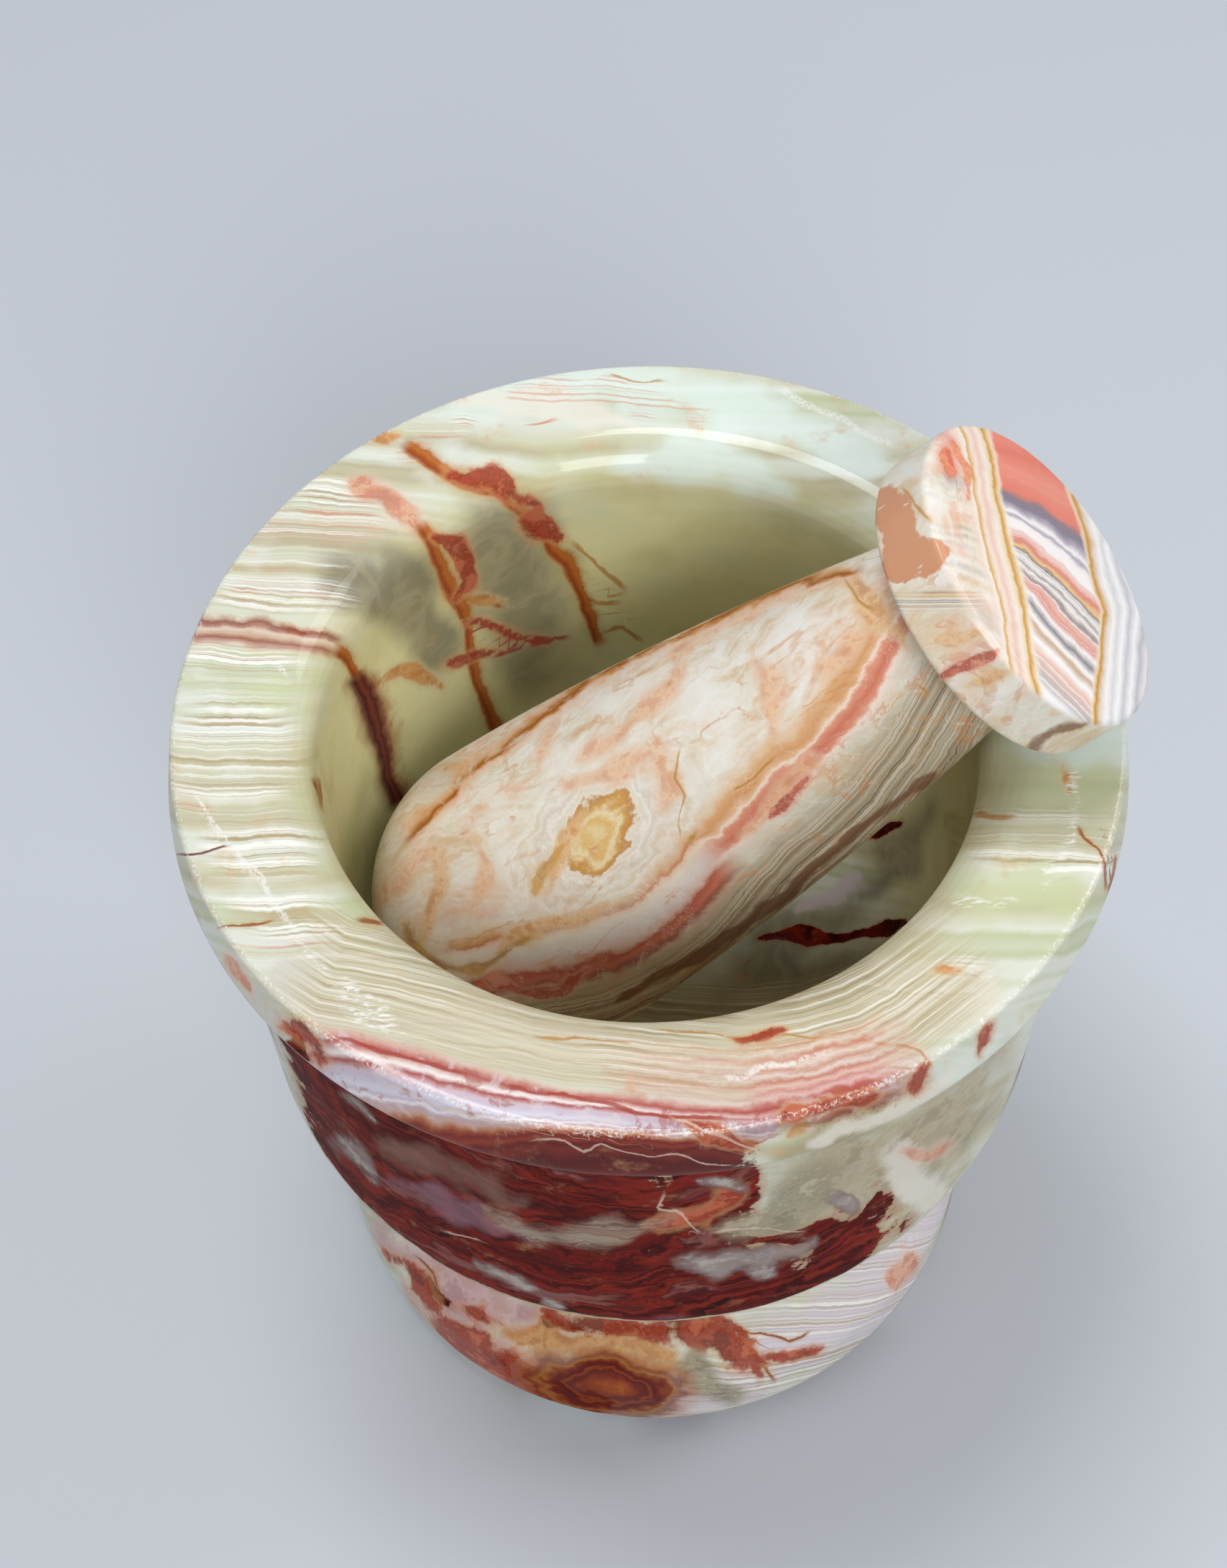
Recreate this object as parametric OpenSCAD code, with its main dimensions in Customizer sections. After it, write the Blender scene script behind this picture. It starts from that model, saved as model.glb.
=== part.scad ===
// Mortar and pestle, each turned from one block of banded onyx and polished.
// The origin is the centre of the mortar's foot, on the surface that it stands on, with +Z up.
// The pestle leans in the bowl along X: its bulb lies on the round floor and its shaft on the lip.

/* [Rim and collar] */
// Height of the mortar, from under its foot to the top of its rim
mortar_h = 102; // [96:1:130]
// Diameter of the rim's top edge
rim_d = 100; // [94:1:120]
// Radius of the rim's outer top edge
rim_round = 0.8; // [0.2:0.1:2]
// Height of the collar under the rim's top edge
collar_h = 7.8; // [5:0.1:12]
// How far the collar's lower edge stands out past the rim's top edge
collar_flare = 1.5; // [0:0.1:3]
// Radius of the collar's lower edge
collar_round = 2; // [0.5:0.1:3]
// Step from the collar's lower edge in to the body
collar_step = 3.8; // [1:0.1:5]
// Radius of the inner corner under the collar
step_round = 0.6; // [0.2:0.1:1.5]

/* [Body and foot] */
// How far the body draws in from the collar to its lower shoulder
body_taper = 1.3; // [0:0.1:4]
// Height of the body's lower shoulder
shoulder_h = 44; // [38:1:52]
// Radius of the body's lower shoulder
shoulder_round = 20; // [8:1:24]
// Diameter of the waist
waist_d = 58; // [46:1:66]
// Height of the waist
waist_h = 27; // [23:1:32]
// Radius of the hollow at the waist
waist_round = 8; // [3:0.5:10]
// Diameter of the foot
foot_d = 83.4; // [74:0.2:98]
// Height of the foot's upper edge
foot_h = 15.5; // [12:0.5:19]
// Radius of the foot's upper edge
foot_top_round = 8; // [2:0.5:9]
// Radius of the foot's lower edge
foot_low_round = 6.5; // [1:0.5:7]

/* [Bowl] */
// Diameter of the bowl
bowl_d = 71; // [64:0.5:78]
// Depth of the bowl, from the top of the rim to the middle of its round floor
bowl_depth = 66.5; // [56:0.5:70]
// Radius of the lip between the rim's top and the bowl
lip_round = 6; // [3:0.5:7]

/* [Pestle] */
// Diameter of the round bulb
bulb_d = 37.9; // [32:0.1:42]
// Length from the bulb's centre to the underside of the head
shaft_l = 71.2; // [62:0.2:90]
// Diameter of the shaft where it meets the head
neck_d = 19.2; // [14:0.1:24]
// Radius of the long outward curve of the shaft's side
shaft_curve = 466; // [250:1:1500]
// Width of the bevel at the top of the shaft
neck_bevel = 1.2; // [0.4:0.1:2]
// Diameter of the head
head_d = 34; // [28:0.2:42]
// Height of the head at its edge
head_h = 7; // [4:0.1:12]
// Radius of the head's edges
head_round = 0.8; // [0.2:0.1:1.8]
// Rise of the head's domed end
head_dome = 1.3; // [0.3:0.1:3]

/* [Resting place] */
// How far down the round floor the bulb lies, in degrees below the bowl's centre
seat_angle = 29.5; // [10:0.5:60]
// Direction from the bowl's axis to the bulb, in degrees round from +X
bulb_turn = 171; // [150:1:210]
// Direction from the bowl's axis to the place where the shaft meets the lip, in degrees round from +X
lip_turn = 1.5; // [-15:0.5:15]
// Gap left between the pestle and the mortar
rest_gap = 0.3; // [0.2:0.05:1]

/* [Hidden] */
$fn = 128;

// Largest turn between two points of a curve
arc_step = 4;

rim_r = rim_d / 2;
collar_r = rim_r + collar_flare;
collar_z = mortar_h - collar_h;
body_top_r = collar_r - collar_step;
shoulder_r = body_top_r - body_taper;
waist_r = waist_d / 2;
foot_r = foot_d / 2;
bowl_r = bowl_d / 2;
bowl_centre_z = mortar_h - bowl_depth + bowl_r;
lip_r = min(lip_round, (rim_r - bowl_r) / 2);

bulb_r = bulb_d / 2;
neck_r = neck_d / 2;
head_r = head_d / 2;
head_z = shaft_l + head_h;
bevel_z = shaft_l - neck_bevel;
bevel_r = neck_r - neck_bevel;
dome_r = (head_r * head_r + head_dome * head_dome) / (2 * head_dome);
dome_half_angle = asin(head_r / dome_r);

// The shaft's side is an arc that runs smoothly into the bulb and reaches the neck's radius at the head.
// Its centre lies across the pestle's axis, at curve_angle from the axis as seen from the bulb's centre.
curve_reach = shaft_curve - bulb_r;
neck_reach = norm([shaft_l, neck_r]);
curve_along = (neck_reach ^ 2 + curve_reach ^ 2 - shaft_curve ^ 2) / (2 * curve_reach);
curve_angle = acos(curve_along / neck_reach) - atan2(neck_r, shaft_l);
curve_z = curve_reach * cos(curve_angle);
curve_offset = curve_reach * sin(curve_angle);
curve_start = atan2(-curve_z, curve_offset);
curve_end = asin((bevel_z - curve_z) / shaft_curve);

// The bulb's centre hangs over the round floor, and the shaft leans over the lip's rounding.
seat_r = bowl_r - bulb_r - rest_gap;
bulb_xy = seat_r * cos(seat_angle) * [cos(bulb_turn), sin(bulb_turn)];
bulb_z = bowl_centre_z - seat_r * sin(seat_angle);
lip_xy = (bowl_r + lip_r) * [cos(lip_turn), sin(lip_turn)];
across = lip_xy - bulb_xy;
lean_turn = atan2(across[1], across[0]);
lip_run = norm(across);
lip_rise = mortar_h - lip_r - bulb_z;
lip_reach = norm([lip_run, lip_rise]);
lip_to_curve = shaft_curve + lip_r + rest_gap;
curve_opening = acos((curve_reach ^ 2 + lip_reach ^ 2 - lip_to_curve ^ 2) / (2 * curve_reach * lip_reach));
lean = atan2(lip_rise, lip_run) + curve_opening - curve_angle;

function unit(v) = v / norm(v);

function arc(centre, radius, from, to) =
    let (steps = ceil(abs(to - from) / arc_step) + 1)
    [for (i = [0 : steps]) let (a = from + (to - from) * i / steps) centre + radius * [cos(a), sin(a)]];

// The corner at b, between a and c, rounded as far as its two sides leave room
function rounded(a, b, c, radius) =
    let (
        to_a = unit(a - b),
        to_c = unit(c - b),
        half = acos(to_a * to_c) / 2,
        reach = min(radius / tan(half), norm(a - b) / 2, norm(c - b) / 2),
        r = reach * tan(half),
        centre = b + unit(to_a + to_c) * r / sin(half),
        start = b + to_a * reach - centre,
        finish = b + to_c * reach - centre,
        from = atan2(start[1], start[0]),
        turn = atan2(cross(start, finish), start * finish)
    )
    arc(centre, r, from, from + turn);

// An outline through corners, each given as a point and the radius that rounds it
function outline(corners) =
    let (last = len(corners) - 1)
    [for (i = [0 : last])
        each i == 0 || i == last || corners[i][1] == 0
            ? [corners[i][0]]
            : rounded(corners[i - 1][0], corners[i][0], corners[i + 1][0], corners[i][1])];

mortar_corners = [
    [[0, 0], 0],
    [[foot_r, 0], foot_low_round],
    [[foot_r, foot_h], foot_top_round],
    [[waist_r, waist_h], waist_round],
    [[shoulder_r, shoulder_h], shoulder_round],
    [[body_top_r, collar_z], step_round],
    [[collar_r, collar_z], collar_round],
    [[rim_r, mortar_h], rim_round],
    [[bowl_r, mortar_h], lip_r],
    [[bowl_r, bowl_centre_z], 0]
];

module mortar() {
    floor_points = arc([0, bowl_centre_z], bowl_r, 0, -90);
    color("#c3c9a6")
        rotate_extrude()
            polygon(concat(outline(mortar_corners), floor_points));
}

module pestle() {
    bulb_points = arc([0, 0], bulb_r, -90, curve_start);
    shaft_points = arc([-curve_offset, curve_z], shaft_curve, curve_start, curve_end);
    dome_points = arc([0, head_z + head_dome - dome_r], dome_r, 90 - dome_half_angle, 90);
    head_corners = [
        [[bevel_r, shaft_l], 0],
        [[head_r, shaft_l], head_round],
        [[head_r, head_z], head_round],
        [dome_points[1], 0]
    ];
    dome_rest = [for (i = [2 : len(dome_points) - 1]) dome_points[i]];
    color("#d9c3a8")
        translate([bulb_xy[0], bulb_xy[1], bulb_z])
            rotate([0, 90 - lean, lean_turn])
                rotate_extrude()
                    polygon(concat(bulb_points, shaft_points, outline(head_corners), dome_rest));
}

mortar();
pestle();
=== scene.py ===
# %% [markdown]
# # A mortar and pestle of banded onyx
# The part arrives as two plain solids, a mortar and the pestle that leans in it. This lesson turns both
# again as fine meshes, so that the stone can carry its bands, veins and stains, and then gives them a
# polish, a floor, soft light and a camera. Everything is in metres, in the frame of the solids, but the
# numbers of the turned outlines are written in millimetres, as a turner would write them.

# %% Loading the frame
import math
import bmesh
import bpy
import numpy as np
from mathutils import Matrix, Vector
from mathutils.noise import noise as smooth_noise


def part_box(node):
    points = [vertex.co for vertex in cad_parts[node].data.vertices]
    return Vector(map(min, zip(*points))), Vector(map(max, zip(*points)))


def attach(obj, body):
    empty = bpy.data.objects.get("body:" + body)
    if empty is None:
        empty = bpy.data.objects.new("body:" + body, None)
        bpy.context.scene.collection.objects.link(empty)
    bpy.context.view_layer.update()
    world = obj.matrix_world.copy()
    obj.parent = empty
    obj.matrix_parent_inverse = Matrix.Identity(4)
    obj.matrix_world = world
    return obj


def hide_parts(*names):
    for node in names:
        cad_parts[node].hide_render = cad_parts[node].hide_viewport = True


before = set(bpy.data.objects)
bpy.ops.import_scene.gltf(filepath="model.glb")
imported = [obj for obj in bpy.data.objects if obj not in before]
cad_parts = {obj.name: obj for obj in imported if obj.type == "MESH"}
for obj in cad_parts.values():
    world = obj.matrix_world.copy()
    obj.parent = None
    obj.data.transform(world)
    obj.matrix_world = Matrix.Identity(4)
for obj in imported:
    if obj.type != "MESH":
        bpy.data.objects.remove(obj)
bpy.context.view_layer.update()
MM = 0.001
FULL_TURN = 2 * math.pi

# %% [markdown]
# ## The camera
# The view is a steep one, from above the front, close to the mortar, and the camera is held a little
# askew. Its place was found by matching the ellipses of rim, collar and foot. The focal length is first
# written in picture widths, as it was measured, and then turned into Blender's lens and sensor.

# %% Setting up the camera
PICTURE = (1708, 2182)
FOCAL_PX = 3300
SENSOR_MM = 36
LOOK_DOWN = 0.9590956
ROLL = 0.0395377
AIM = Vector((-3.7154, 0, 87.8764))
REACH = 260.735

camera = bpy.data.objects.new("camera", bpy.data.cameras.new("camera"))
bpy.context.scene.collection.objects.link(camera)
camera_turn = Matrix.Rotation(math.pi / 2 - LOOK_DOWN, 3, "X") @ Matrix.Rotation(-ROLL, 3, "Z")
camera_place = AIM + camera_turn @ Vector((0, 0, REACH))
camera.matrix_world = Matrix.Translation(camera_place * MM) @ camera_turn.to_4x4()
camera.data.sensor_width = SENSOR_MM
camera.data.lens = FOCAL_PX * SENSOR_MM / max(PICTURE)
camera.data.clip_start = 0.01
bpy.context.scene.camera = camera
print("camera at", [round(c) for c in camera_place], "mm, lens", round(camera.data.lens, 1), "mm")

# %% [markdown]
# ## Drawing an outline and turning it
# Both pieces were turned on a lathe, so each is one outline spun about its axis. The outline is drawn
# with the fewest points: straight runs between corners, and corners rounded by a vertex bevel, which is
# given as the radius of the round. A round part of the outline is itself a short spin of its last point.
# Long runs are then cut into short ones, because the stains of the stone are kept on the mesh's points.

# %% Tools for turned pieces
ROUND_SEGMENTS = 8
SEAM_GAP = 0.001


def bevel_reach(before, corner, after, radius):
    """How far from the corner a round of that radius starts"""
    half = (before.co - corner.co).angle(after.co - corner.co) / 2
    return radius / math.tan(half)


def round_corner(bm, corner, radius):
    before, after = [edge.other_vert(corner) for edge in corner.link_edges]
    reach = bevel_reach(before, corner, after, radius)
    bmesh.ops.bevel(bm, geom=[corner], offset=reach, offset_type="OFFSET", segments=ROUND_SEGMENTS,
                    profile=0.5, affect="VERTICES", clamp_overlap=False, material=-1)


def draw_line(bm, points):
    """Joined straight runs through (radius, height) points; returns the new vertices in order"""
    line = [bm.verts.new((radius, 0, height)) for radius, height in points]
    for first, second in zip(line, line[1:]):
        bm.edges.new((first, second))
    return line


def draw_arc(bm, start, centre, angle, steps):
    """Goes on from a vertex round a (radius, height) centre; returns the last vertex"""
    pivot = (centre[0], 0, centre[1])
    made = bmesh.ops.spin(bm, geom=[start], cent=pivot, axis=(0, 1, 0), angle=angle, steps=steps)
    return [item for item in made["geom_last"] if isinstance(item, bmesh.types.BMVert)][0]


def cut_runs(bm, spacing):
    """Cuts each edge of the outline so that none is longer than spacing(its middle)"""
    for edge in bm.edges[:]:
        middle = (edge.verts[0].co + edge.verts[1].co) / 2
        cuts = math.ceil(edge.calc_length() / spacing(middle)) - 1
        if cuts > 0:
            bmesh.ops.subdivide_edges(bm, edges=[edge], cuts=cuts)


def turn_outline(bm, columns):
    """Spins an eighth of a turn, doubles it three times and joins the seams"""
    bmesh.ops.spin(bm, geom=bm.verts[:] + bm.edges[:], cent=(0, 0, 0), axis=(0, 0, 1),
                   angle=FULL_TURN / 8, steps=columns // 8)
    for share in (8, 4, 2):
        copied = bmesh.ops.duplicate(bm, geom=bm.verts[:] + bm.edges[:] + bm.faces[:])["geom"]
        turned = [item for item in copied if isinstance(item, bmesh.types.BMVert)]
        turn = Matrix.Rotation(FULL_TURN / share, 3, "Z")
        bmesh.ops.rotate(bm, cent=(0, 0, 0), matrix=turn, verts=turned)
    bmesh.ops.remove_doubles(bm, verts=bm.verts[:], dist=SEAM_GAP)
    bmesh.ops.recalc_face_normals(bm, faces=bm.faces[:])


def finished_piece(bm, name):
    """Scales the millimetres to metres and makes the object, smooth-shaded"""
    bmesh.ops.scale(bm, vec=(MM, MM, MM), verts=bm.verts[:])
    mesh = bpy.data.meshes.new(name)
    bm.to_mesh(mesh)
    bm.free()
    for face in mesh.polygons:
        face.use_smooth = True
    piece = bpy.data.objects.new(name, mesh)
    bpy.context.scene.collection.objects.link(piece)
    triangles = sum(len(face.vertices) - 2 for face in mesh.polygons)
    print(name, "has", len(mesh.vertices), "points and", triangles, "triangles")
    return piece


# %% [markdown]
# ## The mortar
# The outline starts under the foot, goes out and up over foot, waist, body and stepped collar, across
# the flat rim, over the rounded lip and down the bowl's wall. The bowl's round floor is a quarter turn of
# the wall's last point. The rim, which shows the finest lines, is cut finest, and the underside coarsest.

# %% Turning the mortar
RIM_Z = 102
BOWL_R = 35.5
BOWL_CENTRE_Z = 71
COLLAR_Z = 94.2
MORTAR_COLUMNS = 360
BOWL_FLOOR_STEPS = 48
UNDERSIDE_SPACING = 4
RIM_SPACING = 0.55
BODY_SPACING = 1.2
MORTAR_CORNERS = [
    ((0, 0), 0),
    ((41.7, 0), 6.5),
    ((41.7, 15.5), 8),
    ((29, 27), 8),
    ((46.4, 44), 20),
    ((47.7, COLLAR_Z), 0.6),
    ((51.5, COLLAR_Z), 2),
    ((50, RIM_Z), 0.8),
    ((BOWL_R, RIM_Z), 6),
    ((BOWL_R, BOWL_CENTRE_Z), 0),
]


def mortar_spacing(middle):
    if middle.z < 0.01:
        return UNDERSIDE_SPACING
    if middle.z > COLLAR_Z - 1:
        return RIM_SPACING
    return BODY_SPACING


bm = bmesh.new()
outline = draw_line(bm, [point for point, radius in MORTAR_CORNERS])
draw_arc(bm, outline[-1], (0, BOWL_CENTRE_Z), math.pi / 2, BOWL_FLOOR_STEPS)
for corner, (point, radius) in zip(outline, MORTAR_CORNERS):
    if radius:
        round_corner(bm, corner, radius)
cut_runs(bm, mortar_spacing)
turn_outline(bm, MORTAR_COLUMNS)
mortar = finished_piece(bm, "onyx_mortar")
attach(mortar, "mortar")
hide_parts("mortar")

# %% [markdown]
# ## The pestle
# The pestle's outline is a run of arcs: a half round bulb, a long slow curve up the shaft, a fine bevel
# under the head, and the head's gently domed end. It is drawn upright with the bulb's centre at the
# origin, and only the finished mesh is leaned over the lip, so the object itself stays unturned.

# %% Turning the pestle
BULB_R = 18.95
BULB_CENTRE = Vector((-13.9692, 2.2125, 62.9981))
LEAN = math.radians(46.8111)
LEAN_TURN = math.radians(-1.1634)
SHAFT_CENTRE = (-446.346, -25.076)
SHAFT_START = math.radians(3.2156)
SHAFT_END = math.radians(11.7724)
HEAD_Z = 71.2
HEAD_TOP_Z = 78.2
HEAD_R = 17
HEAD_ROUND = 0.8
BEVEL_R = 8.4
DOME_R = 111.804
DOME_CENTRE = (0, -32.304)
PESTLE_COLUMNS = 256
BULB_STEPS = 60
SHAFT_STEPS = 40
DOME_STEPS = 24
PESTLE_SPACING = 0.5

bm = bmesh.new()
pole = bm.verts.new((0, 0, -BULB_R))
bulb_end = draw_arc(bm, pole, (0, 0), -(math.pi / 2 + SHAFT_START), BULB_STEPS)
neck = draw_arc(bm, bulb_end, SHAFT_CENTRE, SHAFT_START - SHAFT_END, SHAFT_STEPS)
dome_edge = math.asin(HEAD_R / DOME_R)
head = draw_line(bm, [(BEVEL_R, HEAD_Z), (HEAD_R, HEAD_Z), (HEAD_R, HEAD_TOP_Z)])
bm.edges.new((neck, head[0]))
draw_arc(bm, head[-1], DOME_CENTRE, -dome_edge, DOME_STEPS)
for corner in head[1:]:
    round_corner(bm, corner, HEAD_ROUND)
cut_runs(bm, lambda middle: PESTLE_SPACING)
turn_outline(bm, PESTLE_COLUMNS)
pestle_turn = Matrix.Rotation(LEAN_TURN, 3, "Z") @ Matrix.Rotation(math.pi / 2 - LEAN, 3, "Y")
bmesh.ops.rotate(bm, cent=(0, 0, 0), matrix=pestle_turn, verts=bm.verts[:])
bmesh.ops.translate(bm, vec=BULB_CENTRE, verts=bm.verts[:])
pestle = finished_piece(bm, "onyx_pestle")
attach(pestle, "pestle")
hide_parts("pestle")

# %% [markdown]
# ## A check of the two meshes
# The meshes have to stay where the solids are, because the solids are what the part is known by. The box
# of each mesh is set against the box of its solid. They differ by less than a tenth of a millimetre,
# where the collar's lower edge is rounded a little more.

# %% Measuring the pieces against the solids
for piece, node in ((mortar, "mortar"), (pestle, "pestle")):
    points = np.array([vertex.co for vertex in piece.data.vertices])
    low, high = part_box(node)
    print(node, "off the solid's box by mm:", np.round((points.min(0) - low) / MM, 2),
          np.round((points.max(0) - high) / MM, 2))

# %% [markdown]
# ## A chart of the stone, as the camera sees it
# Onyx is never twice the same, so its veins are drawn one by one. The easiest sheet to draw on is the view
# of the camera: each point of a mesh has a place in the picture, counted in picture points from the top
# left corner. What is drawn there is worked out once for every point and kept on the mesh, so it stays
# with the stone from any side. Rim, body, foot, shaft and head hide one another in part, so each stroke
# names its sheet, the one part of the stone that it marks. A soft value, seen, tells where the stone
# faces that view at all.

# %% Charting the pieces
WAIST_Z = 27
HEAD_FACE_Z = 70.6
WELL_FACED = 0.16


def mesh_points(piece):
    """The points of a piece, in millimetres, and the way that each faces"""
    count = len(piece.data.vertices)
    points = np.empty(count * 3)
    facing = np.empty(count * 3)
    piece.data.vertices.foreach_get("co", points)
    piece.data.vertices.foreach_get("normal", facing)
    return points.reshape(-1, 3) / MM, facing.reshape(-1, 3)


def picture_chart(points):
    """Where points in millimetres stand in the picture, in picture points"""
    from_camera = (points - np.array(camera_place)) @ np.array(camera_turn)
    centre = np.array(PICTURE) / 2
    return centre + FOCAL_PX * from_camera[:, :2] * (1, -1) / -from_camera[:, 2:]


def facing_camera(points, facing):
    """0 where the stone turns away from the camera, 1 where it faces it well"""
    to_camera = np.array(camera_place) - points
    to_camera /= np.linalg.norm(to_camera, axis=1)[:, None]
    turned = np.sum(to_camera * facing, axis=1)
    return np.clip(turned / WELL_FACED, 0, 1)


def keep_values(piece, name, values):
    kept = piece.data.attributes.new(name, "FLOAT", "POINT")
    kept.data.foreach_set("value", values.astype(np.float32))


def keep_vectors(piece, name, vectors):
    kept = piece.data.attributes.new(name, "FLOAT_VECTOR", "POINT")
    kept.data.foreach_set("vector", vectors.astype(np.float32).ravel())


# %% [markdown]
# ## Strokes on the chart
# A stroke swells and thins along its way and ends in a tip, as a stain in stone does, and a smooth noise
# bends it. The mesh keeps one soft value for each finish, 0.5 at the edge of its strokes, so that the
# shader can move that edge. A stroke finer than the mesh would break up, so hairlines are kept apart.

# %% Keeping strokes on a mesh
# Widths, waves and margins are in picture points
SOFT_EDGE = 12
STROKE_MARGIN = 40
SLOW_SWELL = 23
QUICK_SWELL = 9
TIP_RUN = 4
TIP_WIDTH = 0.3
HAIR = 7
WIDEST_BEND = 16
WIDE_BEND = 0.4
HAIR_BENDS = (8, 6)
BEND_PERIODS = (45, 130)
BEND_SHEETS = (0.5, 50.5)


def bends(chart, period):
    """A smooth noise over the chart, two numbers for each point, the same in every run"""
    return np.array([[smooth_noise((u, v, sheet)) for sheet in BEND_SHEETS] for u, v in chart / period])


def near_stroke(chart, half_width, stroke):
    """0.5 at the edge of a stroke, more inside it, and 0 from a little way outside it on"""
    stroke = np.array(stroke, float)
    runs = np.diff(stroke, axis=0)
    lengths = np.linalg.norm(runs, axis=1)
    ends = np.cumsum(lengths)
    inside = np.full(len(chart), -np.inf)
    for start, run, length, end in zip(stroke, runs, lengths, ends):
        along = np.clip((chart - start) @ run / length ** 2, 0, 1)
        distance = np.linalg.norm(chart - start - along[:, None] * run, axis=1)
        done = end - (1 - along) * length
        to_tip = np.minimum(done, ends[-1] - done)
        swell = 0.86 + 0.2 * np.sin(done / SLOW_SWELL + half_width) + 0.12 * np.sin(done / QUICK_SWELL)
        if ends[-1] > TIP_RUN * half_width:
            swell *= np.clip(TIP_WIDTH + to_tip / (TIP_RUN * half_width), 0, 1)
        inside = np.maximum(inside, half_width * swell - distance)
    return np.clip(0.5 + inside / (2 * max(half_width, SOFT_EDGE)), 0, 1)


def keep_drawing(piece, drawing, sheet_of, chart, seen):
    """Keeps on the mesh how near each of its points is to the strokes of each finish"""
    bend, wide_bend = [bends(chart, period) for period in BEND_PERIODS]
    bent_hairs = chart + HAIR_BENDS[0] * bend + HAIR_BENDS[1] * wide_bend
    for finish, strokes in drawing.items():
        hairs = [stroke for stroke in strokes if stroke[1] < HAIR]
        broad = [stroke for stroke in strokes if stroke[1] >= HAIR]
        if hairs:
            keep_hairs(piece, finish + "_hair", hairs, sheet_of, chart, bent_hairs)
        values = np.zeros(len(chart))
        for sheet, half_width, *stroke in broad:
            margin = 3 * half_width + STROKE_MARGIN
            low = np.min(stroke, axis=0) - margin
            high = np.max(stroke, axis=0) + margin
            here = (sheet_of == sheet) & (seen > 0) & np.all((chart > low) & (chart < high), axis=1)
            bent = chart[here] + min(half_width, WIDEST_BEND) * bend[here]
            bent = bent + WIDE_BEND * half_width * wide_bend[here]
            values[here] = np.maximum(values[here], near_stroke(bent, half_width, stroke))
        keep_values(piece, finish, values * seen)
    print(piece.name, "carries", sum(map(len, drawing.values())), "strokes in", len(drawing), "finishes")


# %% [markdown]
# ## Guides, hairlines and eyes
# Bands and veins have layers side by side, so a stroke isn't enough for them. A guide is only a course
# over the stone. The mesh keeps how far each point lies to one side of it and how far along it, and a
# row of colours, written across the guide, then gives every thin layer of a band at once. The distance
# changes its sign at the guide, so even a hairline stays sharp on a coarse mesh. An eye is an oval, and
# the mesh keeps the distance from its middle.

# %% Keeping guides, hairlines and eyes on a mesh
HAIR_REACH = 24
HAIR_TIP = 12
FAR_ASIDE = 999


def along_guide(chart, course):
    """How far each point lies to the right of a course, and how far along it, in picture points"""
    course = np.array(course, float)
    runs = np.diff(course, axis=0)
    lengths = np.linalg.norm(runs, axis=1)
    nearest = np.full(len(chart), np.inf)
    aside = np.zeros(len(chart))
    way = np.zeros(len(chart))
    for place, (start, run, length) in enumerate(zip(course, runs, lengths)):
        low = -np.inf if place == 0 else 0
        high = np.inf if place == len(runs) - 1 else 1
        share = np.clip((chart - start) @ run / length ** 2, low, high)
        gap = chart - start - share[:, None] * run
        distance = np.linalg.norm(gap, axis=1)
        closer = distance < nearest
        side = np.sign(run[0] * gap[:, 1] - run[1] * gap[:, 0])
        aside[closer] = (side * distance)[closer]
        way[closer] = (lengths[:place].sum() + share * length)[closer]
        nearest[closer] = distance[closer]
    return aside, way


def keep_guides(piece, guides, sheet_of, chart):
    """Keeps on the mesh where its points stand beside and along each guide"""
    for name, (sheet, *course) in guides.items():
        aside, way = along_guide(chart, course)
        aside[sheet_of != sheet] = FAR_ASIDE
        keep_vectors(piece, name, np.column_stack([aside, way, np.zeros(len(chart))]))
    print(piece.name, "carries", len(guides), "guides")


def keep_hairs(piece, name, hairs, sheet_of, chart, bent):
    """Keeps how far each point lies beside the nearest hairline, whether one is near, and how wide it is"""
    kept_values = np.zeros((len(chart), 3))
    nearest = np.full(len(chart), HAIR_REACH)
    for sheet, half_width, *course in hairs:
        low = np.min(course, axis=0) - 2 * HAIR_REACH
        high = np.max(course, axis=0) + 2 * HAIR_REACH
        here = np.flatnonzero((sheet_of == sheet) & np.all((chart > low) & (chart < high), axis=1))
        aside, way = along_guide(bent[here], course)
        length = np.linalg.norm(np.diff(np.array(course, float), axis=0), axis=1).sum()
        to_tip = np.minimum(way, length - way)
        closer = np.abs(aside) < nearest[here]
        here, aside, to_tip = here[closer], aside[closer], to_tip[closer]
        near = np.clip(2 - 2 * np.abs(aside) / HAIR_REACH, 0, 1) * np.clip(to_tip / HAIR_TIP + 0.5, 0, 1)
        kept_values[here] = np.column_stack([aside, near, np.full(len(here), half_width)])
        nearest[here] = np.abs(aside)
    keep_vectors(piece, name, kept_values)


def keep_eye(piece, name, here, chart, centre, ratio, tilt):
    """Keeps how far each point lies from the middle of an oval, counted along the oval's length"""
    away = chart - centre
    lengthwise = away @ (math.cos(tilt), math.sin(tilt))
    crosswise = away @ (-math.sin(tilt), math.cos(tilt))
    keep_values(piece, name, np.where(here, np.hypot(lengthwise, ratio * crosswise), FAR_ASIDE))


# %% [markdown]
# ## Guides for the mortar's bands
# The mortar takes five guides: one before the bowl, along which the rim's bands sag, one for the flow of
# the red jasper on the body, and three for the veins that run down the bowl's far wall.

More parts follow.
